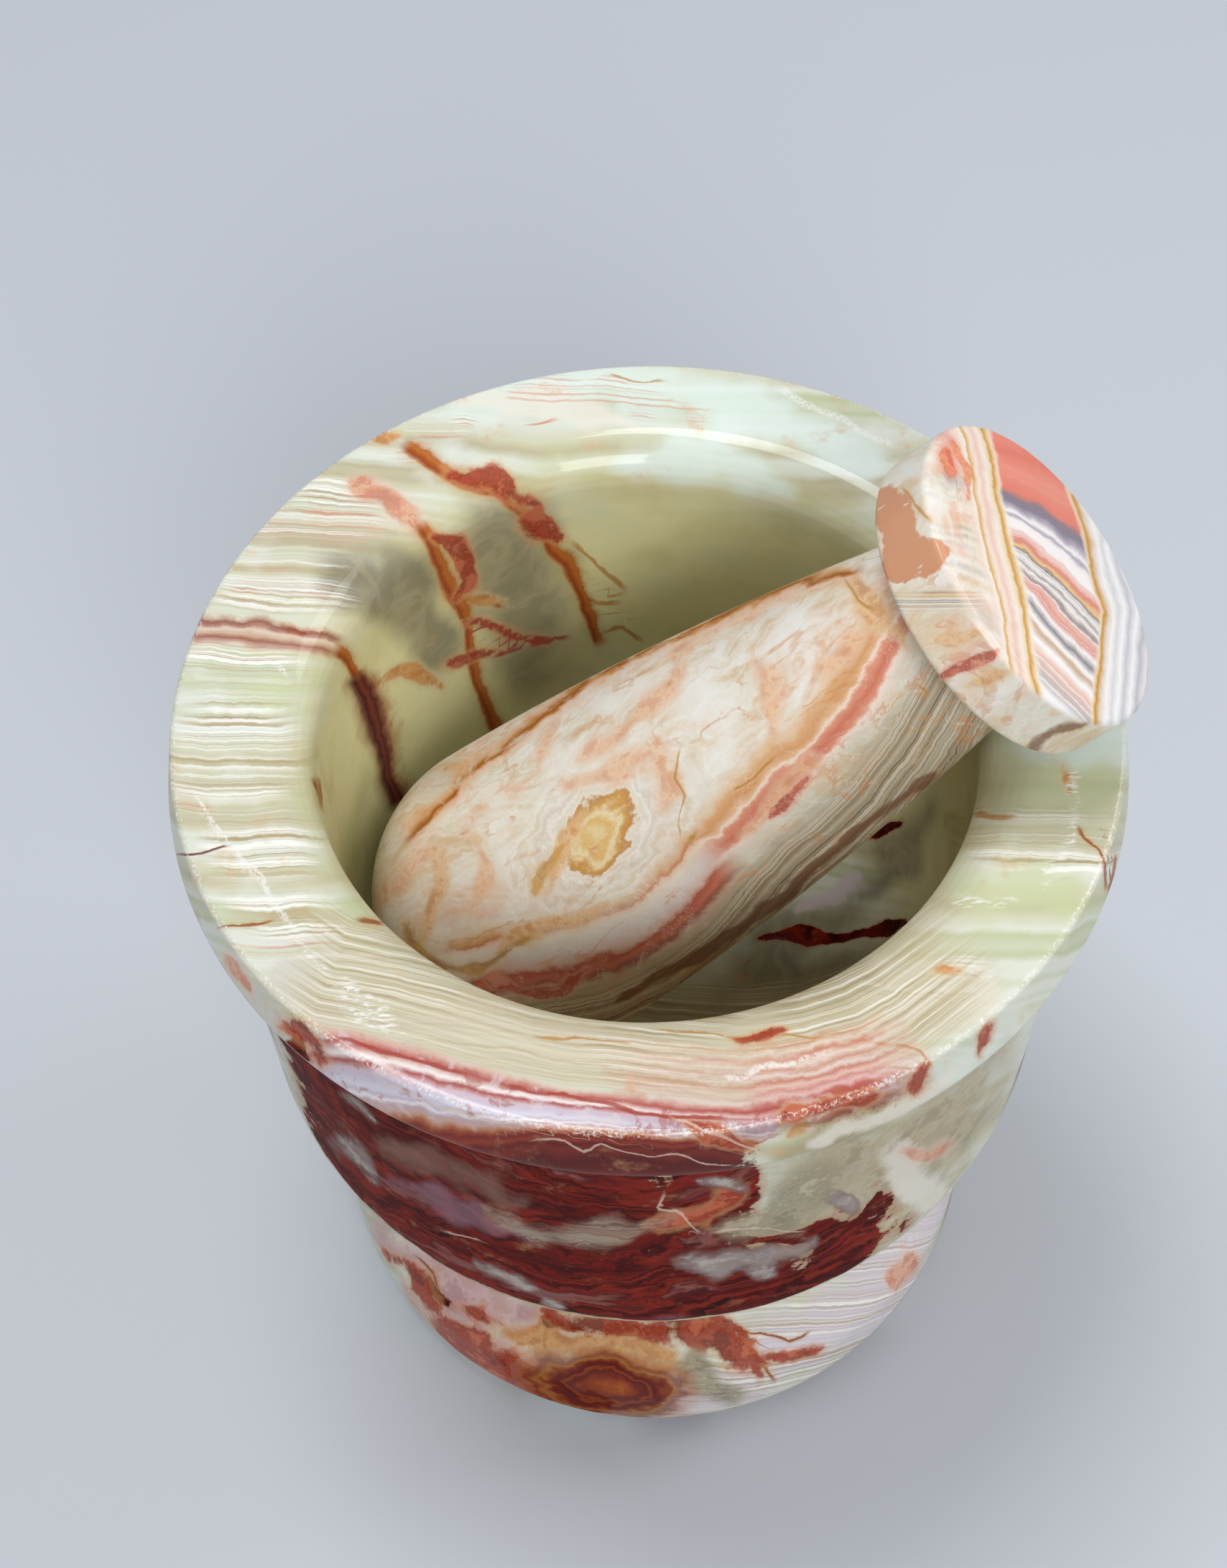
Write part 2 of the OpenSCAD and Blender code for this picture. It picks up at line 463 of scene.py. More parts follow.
# %% Guides on the mortar
MORTAR_GUIDES = {
    "front": ("rim", (330, 1376), (427, 1441), (480, 1449), (532, 1460), (594, 1476), (655, 1493),
              (716, 1510), (782, 1522), (839, 1528), (900, 1537), (960, 1541), (1050, 1545),
              (1140, 1535), (1230, 1508), (1297, 1472), (1375, 1412)),
    "flow": ("body", (392, 1440), (430, 1505), (480, 1560), (540, 1610), (620, 1655), (700, 1688),
             (790, 1710), (870, 1712), (940, 1698), (1010, 1680), (1080, 1655), (1160, 1610),
             (1260, 1540)),
    "left_vein": ("rim", (255, 880), (309, 878), (360, 882), (410, 890), (452, 896), (480, 912),
                  (500, 940), (514, 972), (526, 1010), (538, 1045), (545, 1085), (562, 1125)),
    "middle_vein": ("rim", (585, 722), (600, 750), (616, 785), (629, 820), (644, 851), (653, 886),
                    (657, 916), (664, 951), (678, 986), (690, 1012)),
    "right_vein": ("rim", (555, 614), (590, 640), (620, 661), (660, 676), (695, 684), (720, 710),
                   (742, 736), (768, 760), (792, 782), (806, 810), (814, 845), (824, 880), (840, 912)),
}
print(len(MORTAR_GUIDES), "guides for the mortar")

# %% [markdown]
# ## Drawing the mortar's stains
# A stroke is a sheet, half a width and the points that it runs through. Strokes of one finish are kept
# together, because they share a colour. Only their middles are drawn here: the shader will roughen the
# edges, so a few points are enough for a vein. First come the pale washes, and the glassy inclusions
# that float in the jasper.

# %% Washes drawn on the mortar
MORTAR_DRAWING = {
    "leaf": [
        ("rim", 110, (840, 740), (1010, 760)),
        ("rim", 60, (470, 1000), (480, 1120), (520, 1220)),
        ("rim", 60, (580, 980), (640, 1060)),
        ("rim", 60, (800, 890), (880, 850)),
        ("rim", 42, (1350, 1250), (1440, 1235), (1500, 1260)),
        ("rim", 42, (1380, 1080), (1530, 1095)),
        ("rim", 24, (330, 970), (450, 975)),
        ("rim", 30, (1100, 1590), (1190, 1560)),
    ],
    "mist": [
        ("rim", 34, (415, 1365), (462, 1412)),
        ("rim", 20, (352, 1390), (392, 1440)),
        ("foot", 26, (965, 1925), (1035, 1920)),
    ],
    "glass": [
        ("body", 9, (478, 1523), (521, 1566)),
        ("body", 16, (455, 1578), (490, 1605), (525, 1640)),
        ("body", 17, (945, 1752), (1023, 1756), (1095, 1743), (1125, 1732)),
        ("body", 12, (1030, 1770), (1080, 1766)),
        ("body", 10, (660, 1748), (698, 1772), (747, 1792)),
        ("body", 8, (760, 1818), (782, 1826)),
        ("body", 9, (970, 1640), (1041, 1650)),
        ("body", 12, (1150, 1668), (1178, 1682)),
    ],
    "cream": [
        ("rim", 40, (1210, 1400), (1330, 1375)),
        ("rim", 30, (600, 1390), (720, 1440), (860, 1460)),
        ("rim", 20, (640, 560), (760, 560), (880, 590)),
        ("rim", 14, (1130, 1590), (1230, 1550), (1330, 1490)),
        ("body", 30, (1250, 1610), (1290, 1660)),
        ("foot", 18, (540, 1700), (565, 1735), (590, 1752)),
    ],
    "lilac": [
        ("rim", 24, (480, 1490), (560, 1515), (660, 1540), (780, 1556), (900, 1560), (980, 1556)),
        ("rim", 26, (960, 1480), (1060, 1500), (1160, 1500)),
        ("rim", 15, (1110, 1266), (1170, 1246), (1200, 1225)),
        ("foot", 70, (960, 1950), (1060, 1890), (1160, 1830), (1260, 1760), (1340, 1660)),
    ],
    "rose": [
        ("foot", 46, (520, 1720), (600, 1780), (690, 1835), (800, 1850)),
        ("foot", 46, (540, 1800), (640, 1870), (740, 1930), (860, 1970)),
    ],
    "sand": [
        ("body", 64, (1060, 1700), (1180, 1650), (1270, 1590), (1340, 1530), (1400, 1450)),
        ("rim", 24, (1080, 1604), (1200, 1565), (1300, 1505)),
    ],
    "mint": [
        ("rim", 40, (640, 560), (800, 520), (960, 540), (1120, 600), (1200, 640)),
        ("rim", 30, (870, 640), (1000, 640), (1100, 690)),
        ("rim", 30, (1440, 1020), (1540, 1030)),
    ],
}
print(len(MORTAR_DRAWING), "finishes drawn on the mortar so far")

# %% [markdown]
# ## Greys and mauves
# Grey clouds lie in the bowl and before it, and the dark grey on the bowl's right, under the pestle, is
# painted shade. On the body, a smoky patch, a tan and a violet streak and one pale swoosh lie within the
# red.

# %% Greys and mauves drawn on the mortar
MORTAR_DRAWING.update({
    "grey": [
        ("rim", 62, (690, 750), (720, 830), (740, 900)),
        ("rim", 40, (560, 810), (600, 890)),
        # Painted shade: the next three grey strokes darken the bowl's right side under the pestle
        ("rim", 40, (1080, 1360), (1180, 1365)),
        ("rim", 40, (1000, 1400), (1090, 1310), (1190, 1270)),
        ("rim", 30, (1200, 1250), (1240, 1200), (1290, 1130)),
        ("rim", 34, (480, 800), (520, 830), (560, 860)),
    ],
    "smoke": [
        ("body", 40, (1020, 1700), (1100, 1665), (1170, 1630)),
        ("body", 16, (1090, 1600), (1180, 1570), (1250, 1530)),
        ("foot", 20, (960, 1900), (1010, 1935)),
    ],
    "tan": [
        ("body", 18, (525, 1590), (600, 1612), (660, 1640), (725, 1664)),
    ],
    "violet": [
        ("body", 16, (545, 1636), (620, 1670), (690, 1702), (737, 1712)),
        ("body", 9, (900, 1838), (960, 1836)),
    ],
    "swoosh": [
        ("body", 13, (680, 1681), (720, 1702), (765, 1716), (830, 1714), (896, 1701), (930, 1690)),
    ],
})
print(len(MORTAR_DRAWING), "finishes drawn on the mortar so far")

# %% [markdown]
# ## Soft iron stains
# Iron crept into the stone from cracks. Where it is thin it is salmon or ochre, and where it is thick it is
# rust. Blush only tints the fine lines of the rim.

# %% Soft iron stains drawn on the mortar
MORTAR_DRAWING.update({
    "salmon": [
        ("rim", 19, (490, 676), (535, 694), (590, 735)),
        ("rim", 4, (732, 588), (769, 584)),
        ("rim", 12, (318, 1331), (344, 1378)),
        ("body", 8, (1250, 1602), (1290, 1612), (1330, 1590)),
        ("foot", 12, (1243, 1787), (1270, 1758)),
        ("foot", 5, (1060, 1885), (1100, 1880), (1146, 1875)),
    ],
    "blush": [
        ("rim", 34, (370, 745), (430, 735), (530, 735)),
        ("rim", 20, (330, 822), (450, 815)),
        ("rim", 16, (250, 1110), (285, 1125)),
        ("rim", 20, (320, 1330), (400, 1315), (470, 1300)),
        ("rim", 16, (560, 640), (640, 600)),
        ("rim", 26, (740, 1446), (800, 1462), (850, 1488)),
        ("rim", 20, (720, 545), (860, 545), (980, 580)),
        ("rim", 40, (960, 1462), (1060, 1478), (1160, 1480), (1250, 1460)),
    ],
    "ochre": [
        ("rim", 6, (799, 759), (840, 790), (874, 818)),
        ("rim", 5, (836, 884), (862, 876), (892, 886)),
        ("rim", 5, (806, 826), (832, 838), (858, 836)),
        ("rim", 11, (514, 960), (548, 936), (580, 930), (620, 954)),
        ("rim", 10, (612, 826), (650, 838), (700, 836)),
        ("rim", 6, (1363, 1140), (1411, 1135)),
        ("rim", 8, (1482, 1066), (1492, 1100)),
        ("rim", 8, (1300, 1345), (1338, 1350)),
        ("rim", 4, (922, 1434), (1026, 1440), (1164, 1440), (1221, 1446), (1278, 1463), (1297, 1482)),
        ("rim", 8, (1097, 1580), (1131, 1562)),
        ("rim", 7, (524, 611), (563, 606)),
        ("rim", 3, (850, 526), (924, 530)),
        ("rim", 3, (740, 1438), (800, 1442), (870, 1456)),
        ("foot", 24, (690, 1862), (770, 1864), (870, 1876), (950, 1902)),
    ],
    "rust": [
        ("rim", 6, (688, 844), (698, 844)),
        ("rim", 5, (397, 877), (454, 886)),
        ("rim", 3, (305, 1290), (344, 1285), (379, 1281)),
        ("rim", 5, (493, 1274), (532, 1286)),
        ("rim", 5, (436, 1086), (452, 1121)),
        ("rim", 4, (1492, 1149), (1525, 1173), (1530, 1206), (1534, 1232)),
        ("rim", 6, (1548, 1190), (1538, 1239)),
        ("rim", 5, (1026, 1438), (1090, 1434)),
        ("foot", 6, (988, 1849), (1039, 1872), (1073, 1919)),
        ("foot", 3, (1010, 1856), (1060, 1850), (1100, 1862), (1130, 1850)),
        ("foot", 3, (578, 1750), (600, 1770), (612, 1800), (600, 1812)),
    ],
})
print(len(MORTAR_DRAWING), "finishes drawn on the mortar so far")

# %% [markdown]
# ## Red stone
# Brick and jasper are the strongest colours. Jasper covers most of the body's front, so it is laid with
# broad strokes that overlap. Brick marks the veins of the bowl, the front of the rim and the foot.

# %% Red stone drawn on the mortar
MORTAR_DRAWING.update({
    "brick": [
        ("rim", 13, (606, 742), (634, 754), (646, 782), (652, 810), (640, 834)),
        ("rim", 8, (650, 868), (710, 878), (766, 892)),
        ("rim", 4, (650, 884), (690, 872), (730, 886), (790, 888)),
        ("rim", 8, (616, 924), (655, 914), (700, 908)),
        ("rim", 4, (690, 912), (728, 896), (764, 893)),
        ("foot", 16, (740, 1832), (860, 1844), (950, 1842), (1044, 1856)),
        ("foot", 22, (900, 1862), (980, 1864), (1050, 1888)),
        ("foot", 10, (1040, 1880), (1052, 1910)),
        ("foot", 9, (1060, 1884), (1100, 1884), (1150, 1872)),
        ("foot", 16, (540, 1736), (574, 1780), (612, 1822)),
        ("foot", 24, (600, 1830), (660, 1880), (720, 1920), (790, 1970)),
        ("foot", 14, (640, 1815), (700, 1846)),
        ("rim", 19, (622, 668), (680, 667), (735, 698)),
        ("rim", 14, (740, 728), (780, 754)),
        ("rim", 10, (1020, 1444), (1060, 1438), (1096, 1434)),
        ("rim", 8, (1080, 1556), (1159, 1538), (1220, 1518)),
        ("rim", 10, (1268, 1515), (1290, 1484)),
        ("rim", 7, (1375, 1423), (1362, 1470)),
        ("rim", 3, (1164, 1605), (1204, 1586)),
        ("rim", 15, (415, 1436), (440, 1462), (452, 1480)),
        ("rim", 12, (960, 1560), (1000, 1580), (1040, 1600)),
        ("rim", 5, (470, 1452), (560, 1474), (650, 1496)),
        ("rim", 5, (700, 1512), (790, 1528), (900, 1546), (1000, 1556)),
        ("body", 8, (900, 1700), (980, 1690), (1035, 1650)),
    ],
    "jasper": [
        ("rim", 3, (248, 1187), (287, 1185), (318, 1180)),
        ("rim", 16, (400, 1452), (425, 1490)),
        ("rim", 11, (1050, 1298), (1130, 1306), (1215, 1300), (1260, 1280)),
        ("rim", 12, (1205, 1170), (1250, 1150)),
        ("body", 84, (330, 1340), (420, 1480), (520, 1580), (640, 1620), (760, 1640), (880, 1650),
         (960, 1640)),
        ("body", 84, (330, 1440), (440, 1590), (560, 1690), (680, 1760), (800, 1800), (930, 1820),
         (1060, 1800), (1150, 1760), (1240, 1700)),
        ("body", 46, (860, 1650), (940, 1655), (1010, 1640)),
        ("body", 40, (560, 1650), (700, 1705), (840, 1730), (960, 1730)),
        ("body", 40, (880, 1710), (990, 1715)),
        ("body", 44, (780, 1680), (920, 1690)),
        ("body", 44, (820, 1765), (980, 1765)),
        ("body", 10, (1029, 1725), (1115, 1719), (1195, 1702), (1231, 1658)),
        ("body", 24, (1150, 1745), (1200, 1725)),
        ("foot", 10, (590, 1772), (606, 1800), (640, 1826)),
        ("foot", 8, (743, 1838), (856, 1852), (996, 1850)),
        ("foot", 20, (700, 1900), (760, 1930), (850, 1960)),
    ],
})
print(len(MORTAR_DRAWING), "finishes drawn on the mortar so far")

# %% [markdown]
# ## Lines, cracks, scuffs and a painted edge highlight
# The lines only say where the fine layers of the rim show. Cracks are hairlines, and the chalky strokes
# are where the polish is scuffed. One pale hairline along the rim's outer edge is a painted highlight with
# white chips.

# %% Lines, cracks, scuffs and a painted edge highlight drawn on the mortar
MORTAR_DRAWING.update({
    "lines": [
        ("rim", 62, (520, 640), (420, 740), (345, 870), (330, 1050), (370, 1200), (430, 1290)),
        ("rim", 48, (500, 1320), (620, 1400), (760, 1440), (900, 1460)),
        ("rim", 48, (950, 1470), (1100, 1490), (1250, 1480)),
        ("rim", 32, (1350, 1165), (1450, 1165), (1550, 1175)),
        ("rim", 36, (1150, 1430), (1270, 1400), (1340, 1350)),
        ("rim", 20, (540, 640), (640, 590)),
        ("foot", 70, (980, 1940), (1080, 1880), (1180, 1820), (1280, 1740), (1340, 1660)),
    ],
    "crack": [
        ("rim", 2, (742, 1591), (782, 1591), (817, 1607), (834, 1591), (900, 1600), (955, 1610),
         (1017, 1622)),
        ("rim", 3, (940, 1552), (969, 1565), (1017, 1586), (1055, 1608)),
        ("rim", 2, (540, 1516), (640, 1548), (760, 1570), (860, 1578)),
        ("body", 2, (625, 1713), (668, 1725)),
        ("body", 2, (919, 1658), (913, 1676), (943, 1688), (968, 1713)),
        ("body", 2, (1000, 1712), (1070, 1700), (1110, 1712)),
        # Painted highlight with white chips, along the rim's outer edge
        ("rim", 2, (261, 1204), (331, 1331), (419, 1419)),
    ],
    "chalk": [
        ("rim", 4, (274, 1104), (300, 1150), (318, 1178)),
        ("rim", 5, (318, 1178), (366, 1226), (400, 1280)),
        ("rim", 9, (400, 1280), (440, 1335), (462, 1362)),
        ("rim", 17, (462, 1362), (515, 1414), (563, 1449)),
        ("rim", 7, (1501, 1059), (1492, 1087), (1499, 1116), (1487, 1149)),
        ("rim", 9, (1487, 1149), (1477, 1182), (1454, 1206), (1449, 1235)),
        ("rim", 8, (1320, 1262), (1370, 1256), (1425, 1250)),
        ("rim", 8, (1358, 1348), (1370, 1358)),
        ("rim", 5, (1010, 1500), (1080, 1480), (1150, 1465)),
        ("rim", 5, (1090, 545), (1180, 585), (1240, 620)),
        ("rim", 5, (392, 930), (402, 940)),
    ],
})
print(len(MORTAR_DRAWING), "finishes drawn on the mortar")

# %% [markdown]
# ## Keeping the mortar's drawing
# Now the strokes and guides go onto the mesh. A point's sheet follows from its place: the bowl and all
# above the collar's edge count as rim, the rest as body down to the waist, and as foot below it.

# %% Keeping the mortar's drawing
FOOT_EYE_PLACE = (862, 1932)
FOOT_EYE_RATIO = 2.5
FOOT_EYE_TILT = 0.12
FLOOR_SLACK = 0.5
LIP_WIDTH = 7
COLLAR_SLACK = 0.05

points, facing = mesh_points(mortar)
chart = picture_chart(points)
radius = np.hypot(points[:, 0], points[:, 1])
over_floor = np.hypot(radius, points[:, 2] - BOWL_CENTRE_Z) < BOWL_R + FLOOR_SLACK
in_bowl = np.where(points[:, 2] < BOWL_CENTRE_Z, over_floor, radius < BOWL_R + LIP_WIDTH)
sheet_of = np.where(points[:, 2] > WAIST_Z, "body", "foot")
sheet_of = np.where(in_bowl | (points[:, 2] > COLLAR_Z - COLLAR_SLACK), "rim", sheet_of)
seen = facing_camera(points, facing)
keep_values(mortar, "seen", seen)
keep_drawing(mortar, MORTAR_DRAWING, sheet_of, chart, seen)
keep_guides(mortar, MORTAR_GUIDES, sheet_of, chart)
keep_eye(mortar, "foot_eye", sheet_of == "foot", chart, FOOT_EYE_PLACE, FOOT_EYE_RATIO, FOOT_EYE_TILT)

# %% [markdown]
# ## Guides for the pestle's bands
# The pestle has guides of its own: the broad band along its shaft, the rusty thread above it, and on the
# end of its head the two upright gold veins and the bows that run between them.

# %% Guides on the pestle
PESTLE_GUIDES = {
    "band": ("shaft", (560, 1352), (625, 1322), (679, 1306), (743, 1303), (804, 1292), (878, 1260),
             (925, 1222), (967, 1176), (1027, 1112), (1076, 1072), (1118, 1032), (1153, 987),
             (1190, 935), (1215, 890)),
    "upper_line": ("shaft", (560, 1180), (600, 1142), (638, 1108), (642, 1092), (659, 1072), (699, 1042),
                   (733, 1018), (777, 984), (830, 942), (900, 905), (980, 872), (1048, 841), (1110, 812),
                   (1170, 800)),
    "left_gold": ("head", (1352, 560), (1370, 603), (1383, 670), (1397, 737), (1417, 820), (1432, 905),
                  (1440, 950)),
    "right_gold": ("head", (1470, 620), (1490, 680), (1510, 737), (1523, 803), (1537, 850), (1533, 903),
                   (1526, 990)),
    "bows": ("head", (1290, 668), (1345, 676), (1395, 691), (1445, 714), (1500, 755), (1555, 810)),
}
print(len(PESTLE_GUIDES), "guides for the pestle")

# %% [markdown]
# ## Drawing the pestle's stains
# The pestle is a paler, warmer block of the same stone. Long salmon and honey bands run along its shaft,
# a honey eye with pale rings sits on its bulb, and its underside is combed with fine brown and grey
# streaks, painted darker there as shade too. The head is cut across the bands: its end shows bows of
# white, grey and red behind two upright gold veins, and its rim carries one plain tan patch.

# %% Pale stains drawn on the pestle
PESTLE_DRAWING = {
    "cloud": [
        ("shaft", 24, (905, 970), (967, 962), (1008, 990), (995, 1060), (968, 1090)),
        ("shaft", 9, (733, 1180), (740, 1136), (790, 1104)),
        ("shaft", 7, (895, 1116), (902, 1150), (871, 1183), (814, 1206)),
        ("shaft", 26, (770, 1060), (820, 1075)),
        ("shaft", 26, (690, 1120), (700, 1200)),
        ("shaft", 22, (830, 970), (880, 950)),
        ("shaft", 26, (1110, 870), (1130, 950)),
        ("shaft", 9, (700, 1330), (770, 1335)),
        ("head", 16, (1270, 650), (1300, 700)),
        ("head", 16, (1330, 780), (1310, 810)),
        ("head", 30, (1440, 900), (1490, 960)),
        ("head", 14, (1545, 760), (1560, 900)),
    ],
    "grey": [
        ("shaft", 28, (950, 1330), (1060, 1250), (1150, 1170)),
        ("shaft", 30, (1180, 1060), (1240, 1020), (1290, 970)),
        ("shaft", 20, (620, 1060), (590, 1120)),
        ("shaft", 26, (560, 1170), (525, 1240), (530, 1300)),
    ],
    "level": [
        ("head", 22, (1240, 842), (1300, 840), (1356, 836)),
    ],
}
print(len(PESTLE_DRAWING), "finishes drawn on the pestle so far")

# %% [markdown]
# ## Salmon, honey and gold
# The warm stains lie along the shaft and round the eye. Gold is the darkest of them and partly drawn in
# hairlines.

# %% Warm stains drawn on the pestle
PESTLE_DRAWING.update({
    "salmon": [
        ("shaft", 26, (505, 1262), (551, 1228), (600, 1190)),
        ("shaft", 11, (660, 1160), (676, 1205), (662, 1265)),
        ("shaft", 13, (640, 1098), (605, 1124), (570, 1150)),
        ("shaft", 11, (745, 1075), (762, 1020)),
        ("shaft", 14, (800, 1060), (861, 1020), (905, 980), (945, 920)),
        ("shaft", 17, (790, 1096), (861, 1066), (930, 1050)),
        ("shaft", 16, (915, 1040), (932, 1085), (926, 1130)),
        ("shaft", 18, (1050, 915), (1075, 970), (1090, 1020)),
        ("shaft", 13, (1140, 930), (1180, 905), (1205, 880)),
        ("shaft", 14, (930, 905), (1040, 848), (1140, 800)),
        ("shaft", 14, (1040, 1150), (1080, 1120), (1130, 1060)),
        ("head", 9, (1317, 632), (1317, 650)),
    ],
    "honey": [
        ("shaft", 16, (1104, 822), (1160, 806), (1195, 822), (1230, 865), (1262, 900)),
        ("shaft", 9, (1205, 845), (1226, 876)),
        ("shaft", 8, (850, 934), (794, 955)),
        ("shaft", 10, (605, 1180), (614, 1230), (600, 1270), (585, 1315)),
        ("shaft", 13, (806, 1140), (782, 1185), (765, 1235)),
        ("shaft", 12, (690, 1330), (760, 1290), (850, 1262)),
        ("shaft", 9, (640, 1095), (668, 1075), (690, 1060)),
        ("head", 13, (1308, 890), (1345, 884), (1370, 876)),
        ("head", 12, (1340, 962), (1377, 944), (1410, 930)),
    ],
    "gold": [
        ("shaft", 2, (946, 1045), (938, 1080), (950, 1110), (944, 1163)),
        ("shaft", 22, (570, 1290), (600, 1322), (640, 1350)),
        ("shaft", 8, (640, 1352), (690, 1336), (745, 1308)),
        ("shaft", 8, (742, 1240), (756, 1205), (784, 1178)),
        ("shaft", 3, (1020, 1100), (1045, 1085), (1075, 1055)),
        ("shaft", 3, (1180, 815), (1200, 840), (1218, 848)),
        ("shaft", 5, (955, 1172), (968, 1160)),
        ("shaft", 5, (1275, 955), (1285, 962)),
        ("head", 4, (1253, 680), (1277, 703), (1300, 723)),
        ("head", 4, (1365, 730), (1370, 730)),
    ],
})
print(len(PESTLE_DRAWING), "finishes drawn on the pestle so far")

# %% [markdown]
# ## Red, tan and brown painted shade
# Brick marks the low edge of the band and two spots of the head, and tan the patch on the head's side.
# A brown streak along the underside, on the lower edges of shaft and head, is painted shade.

# %% Red stone, and brown painted shade, drawn on the pestle
PESTLE_DRAWING.update({
    "brick": [
        ("shaft", 9, (679, 1356), (726, 1379), (777, 1379), (821, 1352)),
        ("shaft", 9, (1070, 1140), (1092, 1122), (1126, 1084)),
        ("head", 15, (1312, 938), (1347, 926), (1385, 908)),
        ("head", 15, (1326, 620), (1346, 655), (1352, 695)),
        ("head", 9, (1316, 632), (1322, 654)),
    ],
    "tan": [
        ("head", 34, (1240, 715), (1262, 742), (1284, 772)),
        ("head", 28, (1248, 775), (1266, 786)),
        ("head", 24, (1236, 740), (1250, 770)),
    ],
    # Painted shade: brown on the lower edges of head and shaft
    "brown": [
        ("head", 8, (1423, 1045), (1467, 1022), (1512, 1004)),
        ("shaft", 9, (860, 1400), (1000, 1310), (1150, 1195), (1300, 1075)),
    ],
})
print(len(PESTLE_DRAWING), "finishes drawn on the pestle")

# %% [markdown]
# ## Keeping the pestle's drawing
# Shaft and head are told apart along the pestle's own axis, so its points are first turned back upright.
# The end of the head gets a value of its own, because its bows stop at the edge. The height in the
# picture is kept too: the head's level lines follow it.

# %% Keeping the pestle's drawing
BULB_EYE_PLACE = (830, 1165)
BULB_EYE_RATIO = 1.7
BULB_EYE_TILT = -0.75
END_FACE_EDGE = 0.4

points, facing = mesh_points(pestle)
chart = picture_chart(points)
upright = (points - np.array(BULB_CENTRE)) @ np.array(pestle_turn)
sheet_of = np.where(upright[:, 2] < HEAD_FACE_Z, "shaft", "head")
seen = facing_camera(points, facing)
keep_values(pestle, "seen", seen)
keep_values(pestle, "picture_row", chart[:, 1])
keep_drawing(pestle, PESTLE_DRAWING, sheet_of, chart, seen)
keep_guides(pestle, PESTLE_GUIDES, sheet_of, chart)
keep_values(pestle, "end_face", np.clip((upright[:, 2] - HEAD_TOP_Z) / END_FACE_EDGE + 1.5, 0, 1))
keep_eye(pestle, "bulb_eye", sheet_of == "shaft", chart, BULB_EYE_PLACE, BULB_EYE_RATIO, BULB_EYE_TILT)

# %% [markdown]
# ## Nodes written as sums
# A stone like this takes hundreds of nodes, far too many to place by hand. A small class holds one
# socket of a node tree. Sums and products of such wires add Math nodes, and every other node comes from
# one method, which takes the kind of node, its settings and what goes into its sockets.

# %% A wire of a shader
class Wire:
    """One value of a material's node tree; sums of wires add Math nodes"""

    def __init__(self, tree, socket=None):
        self.tree = tree
        self.socket = socket

    def node(self, kind, settings, sockets, output=0):
        made = self.tree.nodes.new("ShaderNode" + kind)
        for name, value in settings.items():
            if name == "stops":
                set_stops(made.color_ramp.elements, value)
            else:
                setattr(made, name, value)
        for name, value in sockets.items():
            if isinstance(value, Wire):
                self.tree.links.new(value.socket, made.inputs[name])
            else:
                made.inputs[name].default_value = value
        return Wire(self.tree, made.outputs[output])

    def other(self, output):
        return Wire(self.tree, self.socket.node.outputs[output])

    def math(self, operation, first, second):
        return self.node("Math", {"operation": operation}, {0: first, 1: second})

    def __add__(self, value):
        return self.math("ADD", self, value)

    def __sub__(self, value):
        return self.math("SUBTRACT", self, value)

    def __rsub__(self, value):
        return self.math("SUBTRACT", value, self)

    def __mul__(self, value):
        return self.math("MULTIPLY", self, value)

    def __truediv__(self, value):
        return self.math("DIVIDE", self, value)

    def __or__(self, value):
        return self.math("MAXIMUM", self, value)

    __radd__ = __add__
    __rmul__ = __mul__
    __ror__ = __or__


def set_stops(elements, stops):
    while len(elements) < len(stops):
        elements.new(1)
    for element, (position, colour) in zip(elements, stops):
        element.position = position
        element.color = colour


# %% [markdown]
# ## Noises, steps and paints
# A few short helpers give the words that the finishes are written in. A step turns a value into a soft
# mask, shades turn a noise into a run of colours, and a stain lays one paint over another by a mask.

# %% Noises, steps and paints
NOISE_RANGE = (0.3, 0.7)


def hue(code):
    """A colour such as #d9ddc8 in Blender's linear numbers"""
    parts = [int(code[place:place + 2], 16) / 255 for place in (1, 3, 5)]
    linear = [part / 12.92 if part <= 0.04045 else ((part + 0.055) / 1.055) ** 2.4 for part in parts]
    return (*linear, 1)


def noise(vector, scale, detail=3, roughness=0.5, distortion=0):
    return vector.node("TexNoise", {}, {"Vector": vector, "Scale": scale, "Detail": detail,
                                        "Roughness": roughness, "Distortion": distortion}, "Fac")


def noise_along(value, scale, detail=3, roughness=0.5):
    return value.node("TexNoise", {"noise_dimensions": "1D"}, {"W": value, "Scale": scale, "Detail": detail,
                                                               "Roughness": roughness}, "Fac")


def step(value, low, high):
    """0 below low, 1 above high, smooth between them"""
    return value.node("MapRange", {"interpolation_type": "SMOOTHSTEP"},
                      {"Value": value, "From Min": low, "From Max": high})


def ramp(value, stops):
    return value.node("ValToRGB", {"stops": stops}, {"Fac": value})


def shades(value, *codes):
    """Colours spread evenly over the range that a noise really reaches"""
    last = len(codes) - 1
    low, high = NOISE_RANGE
    return ramp(value, [(low + (high - low) * place / last, hue(code)) for place, code in enumerate(codes)])


def stain(colour, mask, paint):
    """Lays a paint, or a plain colour such as #d9ddc8, over a colour where the mask is 1"""
    if isinstance(paint, str):
        paint = hue(paint)
    return colour.node("Mix", {"data_type": "RGBA"}, {0: mask, 6: colour, 7: paint}, 2)


def stretched(vector, scale):
    return vector.node("VectorMath", {"operation": "MULTIPLY"}, {0: vector, 1: scale})


def window(value, first, last, soft):
    """1 between two values, fading over a soft edge"""
    return step(value, first - soft, first + soft) * step(value, last + soft, last - soft)


def veinlets(vector, scale, width):
    """1 on thin winding lines, where a noise crosses its middle"""
    off = noise(vector, scale, 6, 0.6, 0.8) - 0.5
    return step(off * off, width * width, 0.1 * width * width)


